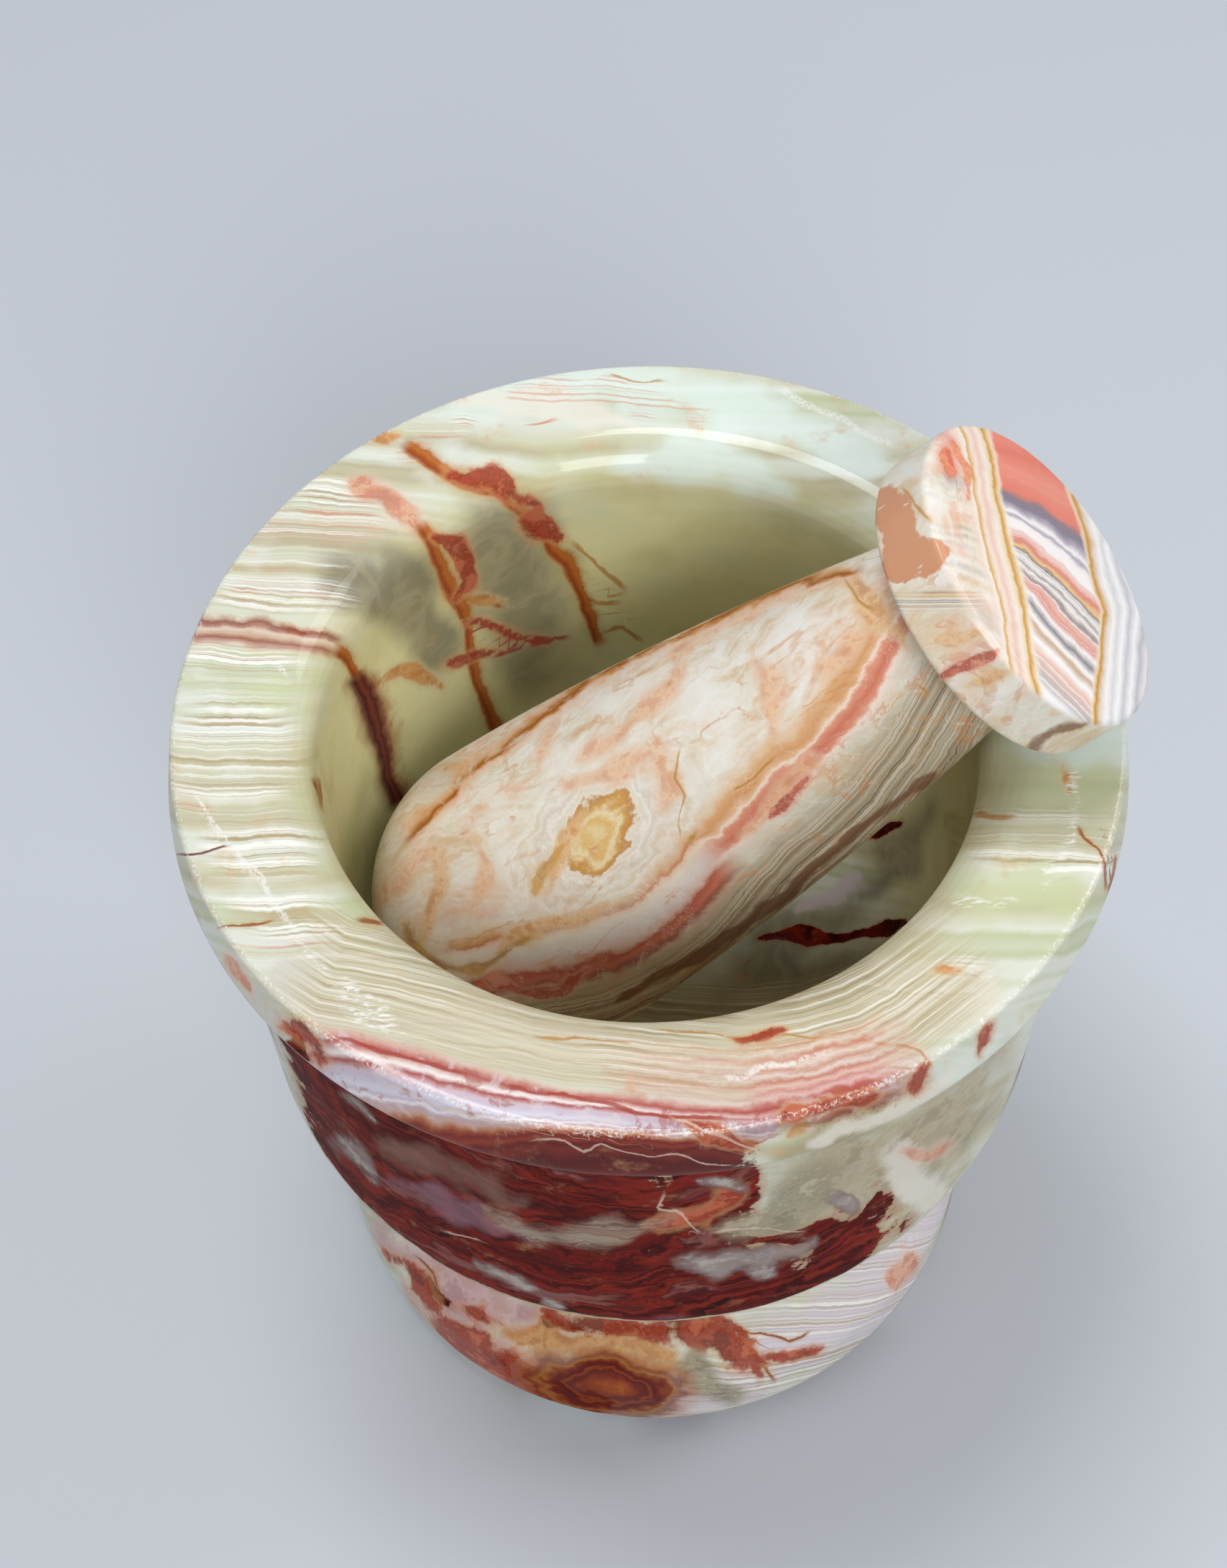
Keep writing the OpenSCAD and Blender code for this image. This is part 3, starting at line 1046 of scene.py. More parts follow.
# %% [markdown]
# ## A stone that is painted in layers
# Each stone is painted from its pale ground up to its darkest veins. A small class remembers the colour
# so far, reads what the mesh keeps, lays the next paint, and at the end joins all to the shader. The
# shine of the polish is a clear coat.

# %% A stone that is painted in layers
PIT_STRENGTH = 0.25
COAT_ROUGHNESS = 0.06
HAIR_FRAY = 12


class Stone:
    """A stone's material while it is painted, with its colour so far"""

    def __init__(self, name, piece):
        self.material = bpy.data.materials.new(name)
        self.material.use_nodes = True
        piece.data.materials.append(self.material)
        self.wire = Wire(self.material.node_tree)
        self.colour = None
        place = self.wire.node("TexCoord", {}, {}, "Object")
        self.place = place.node("VectorMath", {"operation": "SCALE"}, {0: place, "Scale": 1 / MM})

    def value(self, name, output="Fac"):
        """What the mesh keeps under a name"""
        return self.wire.node("Attribute", {"attribute_name": name}, {}, output)

    def beside(self, name):
        """How far a point lies beside a guide, how far along it, and the third number kept there"""
        kept = self.value(name, "Vector")
        aside = kept.node("SeparateXYZ", {}, {0: kept})
        return aside, aside.other(1), aside.other(2)

    def drawn(self, name, edge, fray=0.9):
        """How deep in a drawn finish a point is, its edge frayed by a noise: over 0.5 is inside"""
        return self.value(name) + fray * (edge - 0.5)

    def hairline(self, name, ragged, wider=1):
        """1 on the hairlines of a finish, broken and frayed by a noise"""
        aside, near, half_width = self.beside(name + "_hair")
        off = aside.node("Math", {"operation": "ABSOLUTE"}, {0: aside + HAIR_FRAY * (ragged - 0.5)})
        width = wider * half_width * (2.4 * ragged - 0.5) + 0.01
        return step(off / width, 1.2, 0.4) * near

    def lay(self, mask, paint):
        """Lays the next paint over the colour so far"""
        self.colour = stain(self.colour, mask, paint)

    def lay_row(self, aside, row, where):
        """Lays a row of colours, each with its place across a guide and how well it covers"""
        low, high = row[0][0], row[-1][0]
        stops = [((spot - low) / (high - low), hue(code)[:3] + (cover,)) for spot, code, cover in row]
        paint = ramp((aside - low) / (high - low), stops)
        self.lay(paint.other(1) * where, paint)

    def polish(self, roughness, gloss, pits, depth):
        """Joins the colour, roughness, gloss and fine pits to the shader"""
        tree = self.material.node_tree
        shader = tree.nodes["Principled BSDF"]
        pitted = {"Height": pits, "Strength": PIT_STRENGTH, "Distance": depth * MM}
        bump = self.wire.node("Bump", {}, pitted)
        joins = {"Base Color": self.colour, "Roughness": roughness, "Coat Weight": gloss, "Normal": bump}
        for name, wire in joins.items():
            tree.links.new(wire.socket, shader.inputs[name])
        shader.inputs["Specular IOR Level"].default_value = 0
        shader.inputs["Coat Roughness"].default_value = COAT_ROUGHNESS
        self.tell("polish")

    def tell(self, laid):
        count = len(self.material.node_tree.nodes)
        print(self.material.name, "has its", laid, "and", count, "nodes by now")


# %% [markdown]
# ## The mortar's layers
# Onyx grows layer on layer, like the rings of a tree, so one number, the depth in the layers, gives both
# the slow change from mint over leaf green to honey and the fine pale and brown lines. The layers lie
# askew in the block, and a soft noise bends them. One noise of a single number then colours each layer
# the same all through the stone. Inside the bowl the colour is painted brighter and yellower, a painted
# glow in place of light through the thin wall, fullest below the rim.

# %% Layers of the mortar
DEEP_Z = 48
stone = Stone("mortar_stone", mortar)
place = stone.place
across = place.node("SeparateXYZ", {}, {0: place})
back, height = across.other(1), across.other(2)
radius = across.node("Math", {"operation": "SQRT"}, {0: across * across + back * back})
cloud = noise(place, 0.035)
swirl = noise(place, 0.09, 4, 0.55)
grit = noise(place, 0.8, 3)
ragged = noise(place, 0.22, 8, 0.68)
mixed = 2.4 * ragged - 0.7
cloudy = 2 * noise(place, 0.14, 4, 0.55, 0.8) - 0.5
seen = stone.value("seen")
shown = step(seen, 0, 0.5)
wild = 1 - shown
layer = 0.78 * back + 0.62 * height + 0.08 * across + 6 * (cloud - 0.5) + 0.4 * (grit - 0.5)
tint = noise_along(layer, 0.085, 3, 0.6)
stone.colour = shades(tint, "#cfd5c0", "#bcc3a0", "#d8dcd0", "#c9c8ac", "#b8b294", "#d3d8ca")
stone.lay(0.5 * step(swirl, 0.5, 0.66), "#dfe3dc")
# Painted glow: the bowl's inside is painted brighter and yellower in place of light through its thin wall
in_bowl = step(radius, BOWL_R + 3.5, BOWL_R - 0.5) * step(height, DEEP_Z, DEEP_Z + 12)
below_rim = step(height, RIM_Z - 3, RIM_Z - 12)
stone.lay(in_bowl * (0.6 + 0.4 * below_rim), shades(swirl, "#cfcc94", "#e0dca8", "#d6d8a8"))
stone.tell("layers")

# %% [markdown]
# ## The mortar's washes
# Over the layers go thin washes of leaf green, mist, cream, grey and lilac, with soft edges, as if laid
# on with much water.

# %% Washes of the mortar
leaf = stone.drawn("leaf", swirl, 1.2)
mist = stone.drawn("mist", ragged, 0.8)
cream = stone.drawn("cream", ragged, 0.8)
grey = stone.drawn("grey", swirl, 0.7)
lilac = stone.drawn("lilac", ragged, 0.9)
rose = stone.drawn("rose", ragged, 1.0)
sand = stone.drawn("sand", swirl, 1.0)
mint = stone.drawn("mint", swirl, 1.0)
stone.lay(0.7 * step(leaf, 0.1, 0.7) * (1 - in_bowl), "#c3cb9f")
stone.lay(0.75 * step(mint, 0.05, 0.7), "#dcebe6")
stone.lay(0.85 * step(sand, 0.15, 0.75), shades(mixed, "#998b6c", "#b5a788", "#a59778"))
stone.lay(0.8 * step(mist, 0.3, 0.62), "#cfccc5")
stone.lay(0.75 * step(cream, 0.25, 0.65), "#e4dfd2")
# Grey clouds, and painted shade in the bowl under the pestle
stone.lay(0.75 * step(grey, 0.08, 0.7), shades(cloudy, "#6c6553", "#7d7561", "#8b826b", "#736b57"))
stone.lay(0.85 * step(lilac, 0.3, 0.65), "#d3c8d4")
stone.lay(0.85 * step(rose, 0.25, 0.7), shades(mixed, "#b98790", "#d3aeb2", "#c79a9c"))
stone.tell("washes")

# %% [markdown]
# ## The mortar's fine lines
# The fine lines of the rim follow the layers on the left, and the front guide before the bowl, where the
# layers sag. Each line is a step in a noise of one number.

# %% Fine lines of the mortar
fine = noise_along(layer, 0.8, 5, 0.72)
hair = noise_along(layer + 40, 2.6, 3, 0.6)
lined = step(stone.value("lines") + 0.5 * (swirl - 0.5), 0.1, 0.6) | 0.4 * wild
lined = lined * (0.35 + 1.3 * step(noise_along(layer, 0.16, 2), 0.4, 0.62))
stone.lay(0.7 * lined * step(fine, 0.5, 0.6), "#efeee6")
blush = step(stone.value("blush") + 0.6 * (swirl - 0.5), 0.2, 0.7)
stone.lay(0.6 * lined * step(fine, 0.48, 0.36), ramp(blush, [(0, hue("#b8aa84")), (1, hue("#cf8a74"))]))
stone.lay(0.55 * blush * step(hair, 0.5, 0.6), "#d3917c")
stone.lay(0.45 * lined * step(hair, 0.56, 0.64), "#a58f6d")
stone.lay(0.5 * lined * step(hair, 0.42, 0.36), "#f2f1ec")
front, front_way, _ = stone.beside("front")
front_line = front + 14 * (swirl - 0.5) + 4 * (ragged - 0.5)
front = front + 20 * (swirl - 0.5) + 14 * (ragged - 0.5) + 4 * (grit - 0.5)
before_bowl = window(front, -170, -12, 20) * window(front_way, 60, 1130, 60) * shown
stone.lay(0.7 * before_bowl, "#c0b596")
thread = noise_along(front_line + 0.04 * front_way, 0.055, 4, 0.7)
thin = noise_along(front_line + 900, 0.16, 3, 0.65)
before_bowl = before_bowl * (0.25 + step(swirl, 0.35, 0.6))
stone.lay(0.6 * before_bowl * step(thread, 0.5, 0.4), "#b5a67f")
stone.lay(0.65 * before_bowl * step(thin, 0.53, 0.6), "#e6e2d4")
stone.lay(0.4 * before_bowl * step(thin, 0.44, 0.37), "#94815c")
stone.tell("fine lines")

# %% [markdown]
# ## The mortar's salmon and ochre
# Salmon and ochre have wide soft halos, where iron crept into the stone, and a stronger middle.

# %% Salmon and ochre of the mortar
salmon = stone.drawn("salmon", ragged, 1.0)
stone.lay(0.4 * step(salmon, 0.05, 0.5), "#e0bfae")
stone.lay(0.75 * step(salmon, 0.38, 0.66), shades(mixed, "#c0684a", "#d08660", "#dca888", "#c87450"))
stone.lay(0.8 * stone.hairline("salmon", ragged), "#cf8672")
ochre = stone.drawn("ochre", ragged, 1.1 - 0.2 * in_bowl)
stone.lay(0.45 * step(ochre, 0.05, 0.5), "#d6bf96")
stone.lay(0.8 * step(ochre, 0.38, 0.64), shades(mixed, "#b06a24", "#c8803a", "#d09a58", "#b87430"))
stone.lay(0.8 * stone.hairline("ochre", ragged), "#b9823f")
stone.tell("salmon and ochre")

# %% [markdown]
# ## Bands before the bowl
# The bands on the front of the rim are rows of colours across the front guide, widened and thinned along
# the way by a noise. One row holds on the left and another on the right, and flecks break both.

# %% Bands before the bowl
FRONT_BAND = [(-26, "#d3cfc2", 0), (-15, "#d3aa9c", 0.6), (-6, "#c48a80", 0.95), (2, "#ad5f58", 1),
              (8, "#c99a94", 1), (14, "#e2d3cf", 1), (17, "#efe6e0", 1), (20, "#d6bfc0", 1),
              (25, "#a04640", 1), (29, "#b87f7c", 1), (36, "#cdb8c2", 1), (46, "#c8becd", 1),
              (58, "#d6d2de", 1), (66, "#c4b8c4", 1), (71, "#ebe6e8", 1), (76, "#bfa8ae", 1),
              (86, "#c4a097", 1), (94, "#b0704a", 1), (99, "#97462f", 1), (106, "#742820", 1),
              (116, "#8e3828", 1), (126, "#61201b", 1), (140, "#752a22", 1), (170, "#571c1a", 1),
              (240, "#6a241c", 1), (500, "#571c1a", 1), (560, "#571c1a", 0)]
broad = (0.95 - 0.52 * step(front_way, 190, 620)) * (0.85 + 0.4 * noise_along(front_way, 0.012, 3))
frayed_way = front_way + 130 * (swirl - 0.5) + 150 * (ragged - 0.5)
stone.lay_row(front / broad, FRONT_BAND,
              step(frayed_way, 100, 130) * step(frayed_way + 0.8 * front, 800, 785) * shown)
PINK_BAND = [(-112, "#d0a890", 0), (-98, "#c08458", 0.7), (-88, "#dccdbc", 0.9), (-78, "#c47a62", 0.9),
             (-68, "#dfccc0", 0.9), (-58, "#c48674", 0.9), (-49, "#e0cdc6", 0.95), (-40, "#bf7666", 0.95),
             (-31, "#d9b2a8", 0.95), (-24, "#c6857c", 0.95), (-16, "#d8b0ac", 0.95), (-8, "#b9645a", 1),
             (0, "#a4463c", 1), (9, "#bd746c", 1), (16, "#c8a0a2", 0.95), (24, "#a8583e", 0.95),
             (31, "#7f3226", 0.9), (38, "#a97c4e", 0.6), (48, "#cdc2a8", 0)]
pink_part = step(frayed_way, 480, 780) * step(frayed_way, 1020, 930)
pink_part = pink_part * (0.5 + 0.5 * step(swirl + 0.5 * ragged, 0.5, 0.95)) * shown
stone.lay_row((front + 26 * (ragged - 0.5)) / 0.85, PINK_BAND, pink_part)
in_band = window(front / broad, -14, 92, 10) * window(front_way, 118, 960, 24) * shown
fleck = noise(place, 0.34, 7, 0.7, 0.4)
stone.lay(0.5 * in_band * step(fleck, 0.54, 0.62), "#d9cdd2")
stone.lay(0.6 * in_band * step(fleck, 0.44, 0.38), "#a8625a")
stone.tell("front bands")

# %% [markdown]
# ## The mortar's rust and veins
# A faint tan mottle lies all over the stone, and rust is drawn on it in hairlines with a soft ochre halo.
# The three veins down the bowl's wall are rows of colours too, and the row changes along the left one,
# which is brown on the rim and darkest near the floor.

# %% Rust and veins of the mortar
tan_mottle = (1.0 - 0.4 * in_bowl) * (ragged - 0.5)
stone.lay(0.5 * step(tan_mottle, 0.05, 0.5), "#cdb185")
stone.lay(0.3 * stone.hairline("rust", ragged, 2.5), "#c79a5c")
stone.lay(0.9 * stone.hairline("rust", ragged), "#94502a")
VEIN = [(-30, "#c9b98c", 0), (-17, "#c39a5c", 0.25), (-11, "#b87a38", 0.6), (-8, "#ac6229", 0.95),
        (-3, "#b86c2c", 1), (1, "#a85826", 1), (5, "#964628", 1), (9, "#b06a30", 0.9),
        (13, "#c0945a", 0.3), (28, "#c9b98c", 0)]
DARK_VEIN = [(-40, "#b9a27a", 0), (-24, "#a0672f", 0.55), (-15, "#84402a", 0.9), (-7, "#5a2824", 1),
             (1, "#7a3a2a", 1), (8, "#4a2022", 1), (15, "#6a3228", 0.9), (22, "#8a5232", 0.5),
             (38, "#b9a27a", 0)]
RIM_VEIN = [(-34, "#d9cbb0", 0), (-24, "#b07a5c", 0.5), (-17, "#8a4636", 0.9), (-10, "#a8685a", 0.8),
            (-5, "#d9b8a0", 0.5), (1, "#c08a6c", 0.6), (8, "#94503c", 0.9), (14, "#b0725a", 0.7),
            (21, "#d9c4a8", 0.4), (32, "#d9cbb0", 0)]
VEINS = [("left_vein", RIM_VEIN, 10, 215, 16), ("left_vein", VEIN, 215, 270, 16),
         ("left_vein", DARK_VEIN, 262, 456, 20), ("middle_vein", VEIN, 8, 320, 18),
         ("right_vein", VEIN, 10, 420, 20)]
for name, row, first, last, wander in VEINS:
    aside, way, _ = stone.beside(name)
    thick = 0.3 + 1.1 * noise_along(way, 0.014, 1) + 0.9 * (ragged - 0.5)
    aside = (aside + 1.4 * wander * (swirl - 0.5) + 0.9 * wander * (ragged - 0.5)) / thick
    stone.lay_row(aside, row, window(way, first, last, 10) * shown)
stone.tell("rust and veins")

# %% [markdown]
# ## The mortar's jasper
# The deep red jasper isn't one colour: streaks run from maroon to brick and mauve, along the flow guide
# on the body and along the layers elsewhere. On the sides that were never drawn, noises in the stone's
# own space grow the same patches and veins, so that the back of the mortar is no plainer than its front.

# %% Jasper of the mortar
flow, flow_way, _ = stone.beside("flow")
flow = flow + 80 * (swirl - 0.5) + 8 * (ragged - 0.5)
on_body = step(height, WAIST_Z - 1, WAIST_Z + 1) * step(height, COLLAR_Z, COLLAR_Z - 0.4) * shown
course = place.node("CombineXYZ", {}, {0: 0.05 * across * (1 - on_body) + 0.003 * flow_way * on_body,
                                      1: 0.3 * layer * (1 - on_body) + 0.024 * flow * on_body,
                                      2: 0.05 * height})
streak = noise(course, 1, 4, 0.52, 0.5)
grain = noise_along(flow * on_body + 12 * layer * (1 - on_body), 0.11, 3, 0.6)
jasper_paint = shades(streak, "#2c0a0a", "#4a110c", "#701a12", "#3f0f0f",
                      "#84261a", "#521a1c", "#843c32", "#54140f")
jasper_paint = stain(jasper_paint, 0.45 * step(grain, 0.52, 0.66), "#8a3222")
jasper_paint = stain(jasper_paint, 0.5 * step(grain, 0.46, 0.36), "#380f10")
jasper_paint = stain(jasper_paint, 0.6 * step(streak, 0.57, 0.74), "#967874")
jasper = stone.drawn("jasper", ragged, 0.9)
over = step(mist, 0.42, 0.54) | step(cream, 0.42, 0.54)
jasper_mask = step(jasper, 0.46, 0.52) * (1 - 0.9 * over)
wild_patch = noise(stretched(place, (1, 1, 1.7)), 0.024, 5, 0.56, 0.5)
wild_vein = noise(place, 0.024, 4, 0.5, 0.4)
wild_off = (wild_vein - 0.5) * (wild_vein - 0.5)
stone.lay(0.45 * wild * step(wild_off, 0.0009, 0.0001), "#d0b388")
stone.lay(0.9 * wild * step(wild_off, 0.00012, 0.00001), shades(mixed, "#7a4022", "#a8662f"))
stone.lay(0.55 * wild * step(wild_patch, 0.5, 0.58), shades(mixed, "#c79a8c", "#d8bfb2", "#c9a088"))
stone.lay(0.6 * step(jasper, 0.3, 0.48) * (1 - over), "#b07d5c")
stone.lay(jasper_mask | wild * step(wild_patch, 0.57, 0.585), jasper_paint)
stone.lay(0.9 * stone.hairline("jasper", ragged), "#6a2c2a")
stone.tell("jasper")

# %% [markdown]
# ## The mortar's brick and inclusions
# Brick frays more than jasper. Glassy inclusions with a dark rim float in the red, with streaks of tan and
# violet, and the foot has one eye of brown rings.

# %% Brick and inclusions of the mortar
brick = stone.drawn("brick", ragged, 1.5 - 0.3 * in_bowl)
stone.lay(0.5 * step(brick, 0.1, 0.46), "#cf9a6c")
stone.lay(0.9 * step(brick, 0.36, 0.6), shades(mixed, "#7a2418", "#a84432", "#8f3222", "#bd6448"))
stone.lay(0.85 * stone.hairline("brick", ragged), "#a2463a")
glass = stone.drawn("glass", ragged, 0.9)
stone.lay(0.6 * step(glass, 0.25, 0.5), "#6a3a34")
stone.lay(0.85 * step(glass, 0.3, 0.8), shades(streak, "#7d6a68", "#a29894", "#8a7c7a", "#b5aca4"))
stone.lay(0.5 * step(glass, 0.46, 0.7) * step(ragged, 0.52, 0.64), "#c9c4bc")
tan = stone.drawn("tan", ragged, 0.9)
violet = stone.drawn("violet", ragged, 0.9)
swoosh = stone.drawn("swoosh", ragged, 0.9)
stone.lay(0.7 * step(tan, 0.2, 0.75), shades(streak, "#6f4a42", "#8a6a5c", "#7a5a50"))
stone.lay(0.65 * step(violet, 0.2, 0.75), shades(streak, "#6a4450", "#92707c", "#7c5864"))
stone.lay(0.7 * step(swoosh, 0.15, 0.85), shades(grain, "#7a4a40", "#b5ab96", "#94786a", "#c4bda8"))
smoke = stone.drawn("smoke", ragged, 0.9)
stone.lay(0.85 * step(smoke, 0.2, 0.7), shades(mixed, "#80775f", "#a0967c", "#8f866a", "#b5ab90"))
FOOT_EYE = [(0, "#a85a24", 1), (14, "#8f3f1c", 1), (28, "#742a18", 1), (40, "#5c1c14", 1),
            (50, "#8a3c1c", 1), (58, "#581a14", 1), (70, "#6e2418", 1), (80, "#8a4420", 1),
            (88, "#a0622c", 0.9), (96, "#82401f", 0.85), (104, "#7a3020", 0.8), (116, "#a8623a", 0.6),
            (128, "#a8705a", 0.35), (150, "#c9b098", 0)]
eye = stone.value("foot_eye") + 170 * (swirl - 0.5) + 70 * (ragged - 0.5)
stone.lay_row(eye, FOOT_EYE, shown)
# Pale cracks, and a painted highlight along the rim's outer edge
stone.lay(0.6 * stone.hairline("crack", ragged), "#e0c8b4")
stone.tell("brick and inclusions")

# %% [markdown]
# ## Wear and a painted edge highlight on the mortar
# Fine scratches on the rim are chalky and dull, and the rim's outer edge is white in specks here and there,
# partly wear and partly a painted highlight.
# They change the colour, the roughness and the fine relief. The jasper takes less of the clear coat, so
# that its red stays deep.

# %% Wear, painted edge highlight and polish of the mortar
RIM_EDGE_R = 49.75
speck = noise(place, 2.6, 3, 0.7)
scuffed = place.node("Mapping", {}, {"Vector": place, "Rotation": (0, 0, 0.75), "Scale": (0.35, 1.6, 1)})
chalk = step(stone.drawn("chalk", ragged, 1.2), 0.3, 0.7) * step(noise(scuffed, 1.5, 4, 0.7), 0.47, 0.6)
# The rim's outer edge: white specks, partly wear and partly a painted highlight
rim_off = radius - RIM_EDGE_R
edge_wear_and_highlight = step(rim_off * rim_off, 0.16, 0.02) * step(height, RIM_Z - 1, RIM_Z - 0.6)
edge_wear_and_highlight = edge_wear_and_highlight * step(speck, 0.48, 0.62)
chalk = chalk | 0.7 * edge_wear_and_highlight | 0.7 * stone.hairline("chalk", ragged, 1.5) * step(speck, 0.36, 0.56)
stone.lay(0.85 * chalk, "#f0f0ec")
gloss = 0.4 - 0.3 * step(jasper, 0.4, 0.52)
stone.polish(0.12 + 0.12 * swirl + 0.4 * chalk, gloss, ragged + chalk, 0.08)

# %% [markdown]
# ## The pestle's stone
# The pestle's pattern runs along the pestle, so its noises are read in the pestle's own upright space,
# which a Mapping node gives by undoing the lean. Clouds of white lie in it, with veils of salmon and
# honey. The underside is combed with long streaks beside the band guide.

# %% Clouds of the pestle
stone = Stone("pestle_stone", pestle)
place = stone.place
upright_place = place.node("Mapping", {"vector_type": "TEXTURE"},
                          {"Vector": place, "Location": BULB_CENTRE, "Rotation": pestle_turn.to_euler()})
cloud = noise(place, 0.045, 4)
swirl = noise(place, 0.11, 5, 0.6, 0.6)
ragged = noise(place, 0.25, 8, 0.68)
mixed = 2.4 * ragged - 0.7
seen = stone.value("seen")
shown = step(seen, 0, 0.5)
wild = 1 - shown
combed = noise(stretched(upright_place, (1, 1, 0.02)), 0.55, 3, 0.55, 0.3)
veil = noise(stretched(upright_place, (1, 1, 0.35)), 0.13, 6, 0.6, 1.4)
ripple = noise_along(veil, 26, 3, 0.6)
mottle = noise(stretched(upright_place, (1, 1, 0.6)), 0.3, 6, 0.62, 0.9)
stone.colour = shades(cloud, "#d3d0bd", "#e2ddce", "#e8e4d8", "#dccdb0")
stone.lay(0.55 * step(swirl, 0.5, 0.66), "#ece8e1")
stone.lay(0.2 * step(ripple, 0.48, 0.36), "#d8cdb8")
stone.lay(0.25 * step(ripple, 0.55, 0.66), "#f3f2ee")
stone.lay(0.6 * step(veil, 0.48, 0.34), "#d6b484")
stone.lay(0.6 * step(veil, 0.53, 0.68), "#e4ad8c")
stone.lay(0.45 * step(mottle, 0.54, 0.66), "#ebe8e2")
stone.lay(0.45 * step(mottle, 0.46, 0.34), "#cbbfa8")
grey = stone.drawn("grey", swirl, 1.2)
stone.lay(0.7 * step(grey, 0.1, 0.9), "#c9c1ae")
stone.tell("clouds")

# %% [markdown]
# ## The pestle's lanes
# Above the broad band, faint lanes of salmon, cream and honey run along the shaft. Under the band, lines of
# grey, brown and gold follow the same guide, painted darker than the stone above them as the shade of
# the underside.

# %% Lanes of the pestle
band, band_way, _ = stone.beside("band")
band_line = band + 16 * (swirl - 0.5) + 5 * (ragged - 0.5)
band = band + 40 * (swirl - 0.5) + 30 * (ragged - 0.5)
lane = band + 120 * (cloud - 0.5) + 40 * (swirl - 0.5)
lane_paint = shades(noise_along(lane, 0.013, 2, 0.5), "#d98f70", "#dedbd2", "#dcc4a6", "#e9e6e0",
                    "#d2a468", "#ddd6ca", "#dc9a78", "#e4e1da")
above_band = step(band, 0, -40) * shown
stone.lay(0.5 * above_band * step(mottle, 0.62, 0.4), lane_paint)
lane_hair = noise_along(lane, 0.07, 3, 0.65)
stone.lay(0.25 * above_band * step(lane_hair, 0.55, 0.64), "#f3f1ee")
stone.lay(0.25 * above_band * step(lane_hair, 0.42, 0.34), "#cf9a72")
pale = stone.drawn("cloud", ragged, 1.4)
stone.lay(0.6 * step(pale, 0.2, 0.8), "#ecebe6")
# Underside streaks, painted partly as shade: dark browns below the band
under = window(band, 62, 400, 14) * shown
comb = noise_along(band_line + 0.02 * band_way, 0.05, 4, 0.72)
underside_streaks_and_shade = shades(comb, "#6a5236", "#a8967a", "#d8d0bd", "#8a7250", "#c4b89e", "#5f4a30", "#b9a27a")
stone.lay(under * step(band, 50, 110) * 0.85, underside_streaks_and_shade)
stone.tell("lanes")

# %% [markdown]
# ## The pestle's band and eye
# The broad band is honey and salmon along the shaft and redder along the bulb, so it takes two rows of
# colours. The bulb's eye is a row as well, across the rings of an oval.

# %% Band and eye of the pestle
BAND = [(-46, "#e6d8c4", 0), (-28, "#e2c39c", 0.7), (-16, "#dba878", 0.95), (-4, "#d39a66", 0.95),
        (5, "#e0b48c", 0.95), (10, "#f0dccb", 0.95), (15, "#dd9a80", 1), (26, "#cf7a62", 1),
        (36, "#dc947c", 1), (42, "#f0dccf", 0.9), (54, "#dccfc0", 0.6), (70, "#d3cbb8", 0)]
stone.lay_row(band, BAND, window(band_way, 455, 900, 30) * shown)
LOW_BAND = [(-30, "#e4cfb4", 0), (-14, "#dcae7c", 0.7), (-5, "#d39b6a", 0.95), (0, "#c9825c", 1),
            (4, "#e6c4ac", 0.9), (12, "#e9dcd0", 0.7), (30, "#dcd2d4", 0.7), (44, "#d9b0a4", 0.8),
            (52, "#b5543f", 0.95), (62, "#c9705a", 0.95), (70, "#9c4a38", 0.9), (80, "#d3b09c", 0.6),
            (95, "#b9a78c", 0)]
stone.lay_row(band, LOW_BAND, window(band_way, 70, 470, 30) * shown)
BULB_EYE = [(0, "#e3cf9f", 1), (18, "#dcb572", 1), (32, "#e8d8b0", 1), (44, "#cf9c50", 0.95),
            (55, "#bd8438", 0.9), (62, "#e9e2d4", 0.8), (72, "#dcd5c6", 0.8), (80, "#eeebe5", 0.8),
            (90, "#d3cbbf", 0.7), (102, "#e8e6e0", 0.7), (112, "#d6c9b2", 0.6), (122, "#ecebe6", 0.6),
            (135, "#dcd6ca", 0.4), (160, "#efece6", 0)]
eye = 0.84 * stone.value("bulb_eye") + 120 * (swirl - 0.5) + 60 * (ragged - 0.5) + 40 * (mottle - 0.5)
stone.lay_row(eye, BULB_EYE, shown)
stone.tell("band and eye")

# %% [markdown]
# ## The pestle's honey, salmon and gold
# Thin winding veinlets come first. The soft strokes of honey and salmon go over them, then the rusty
# thread, and the gold veins last. On the underside, which was never drawn, combed streaks take their place.

# %% Honey, salmon and gold of the pestle
stone.lay(0.55 * step(mottle, 0.4, 0.6) * veinlets(stretched(upright_place, (1, 1, 0.5)), 0.055, 0.012),
          "#cf9058")
stone.lay(0.3 * veinlets(place, 0.11, 0.005), "#f4f1ec")
patch = noise(stretched(upright_place, (1, 1, 0.5)), 0.1, 7, 0.66, 0.5)
stone.lay(0.65 * shown * step(band, 40, 0) * step(patch, 0.57, 0.66),
          shades(mixed, "#c08040", "#dcae72", "#cc9250"))
honey = stone.drawn("honey", ragged, 1.0)
stone.lay(0.4 * step(honey, 0.05, 0.5), "#e4cfae")
stone.lay(0.75 * step(honey, 0.36, 0.68), shades(mixed, "#c98d54", "#deb07f", "#e6c399", "#d39c66"))
salmon = stone.drawn("salmon", ragged, 1.4)
stone.lay(0.45 * step(salmon, 0.05, 0.5), "#e6cbb2")
stone.lay(0.65 * step(salmon, 0.25, 0.85), shades(mixed, "#cb7f50", "#e0a476", "#ebc29e", "#d8946a"))
UPPER_LINE = [(-24, "#dcc0a0", 0), (-10, "#d9a06c", 0.7), (-5, "#b87832", 0.95), (-1, "#9a5a22", 1),
              (3, "#c98a4c", 0.95), (8, "#e6c7b2", 0.6), (22, "#e6c7b2", 0)]
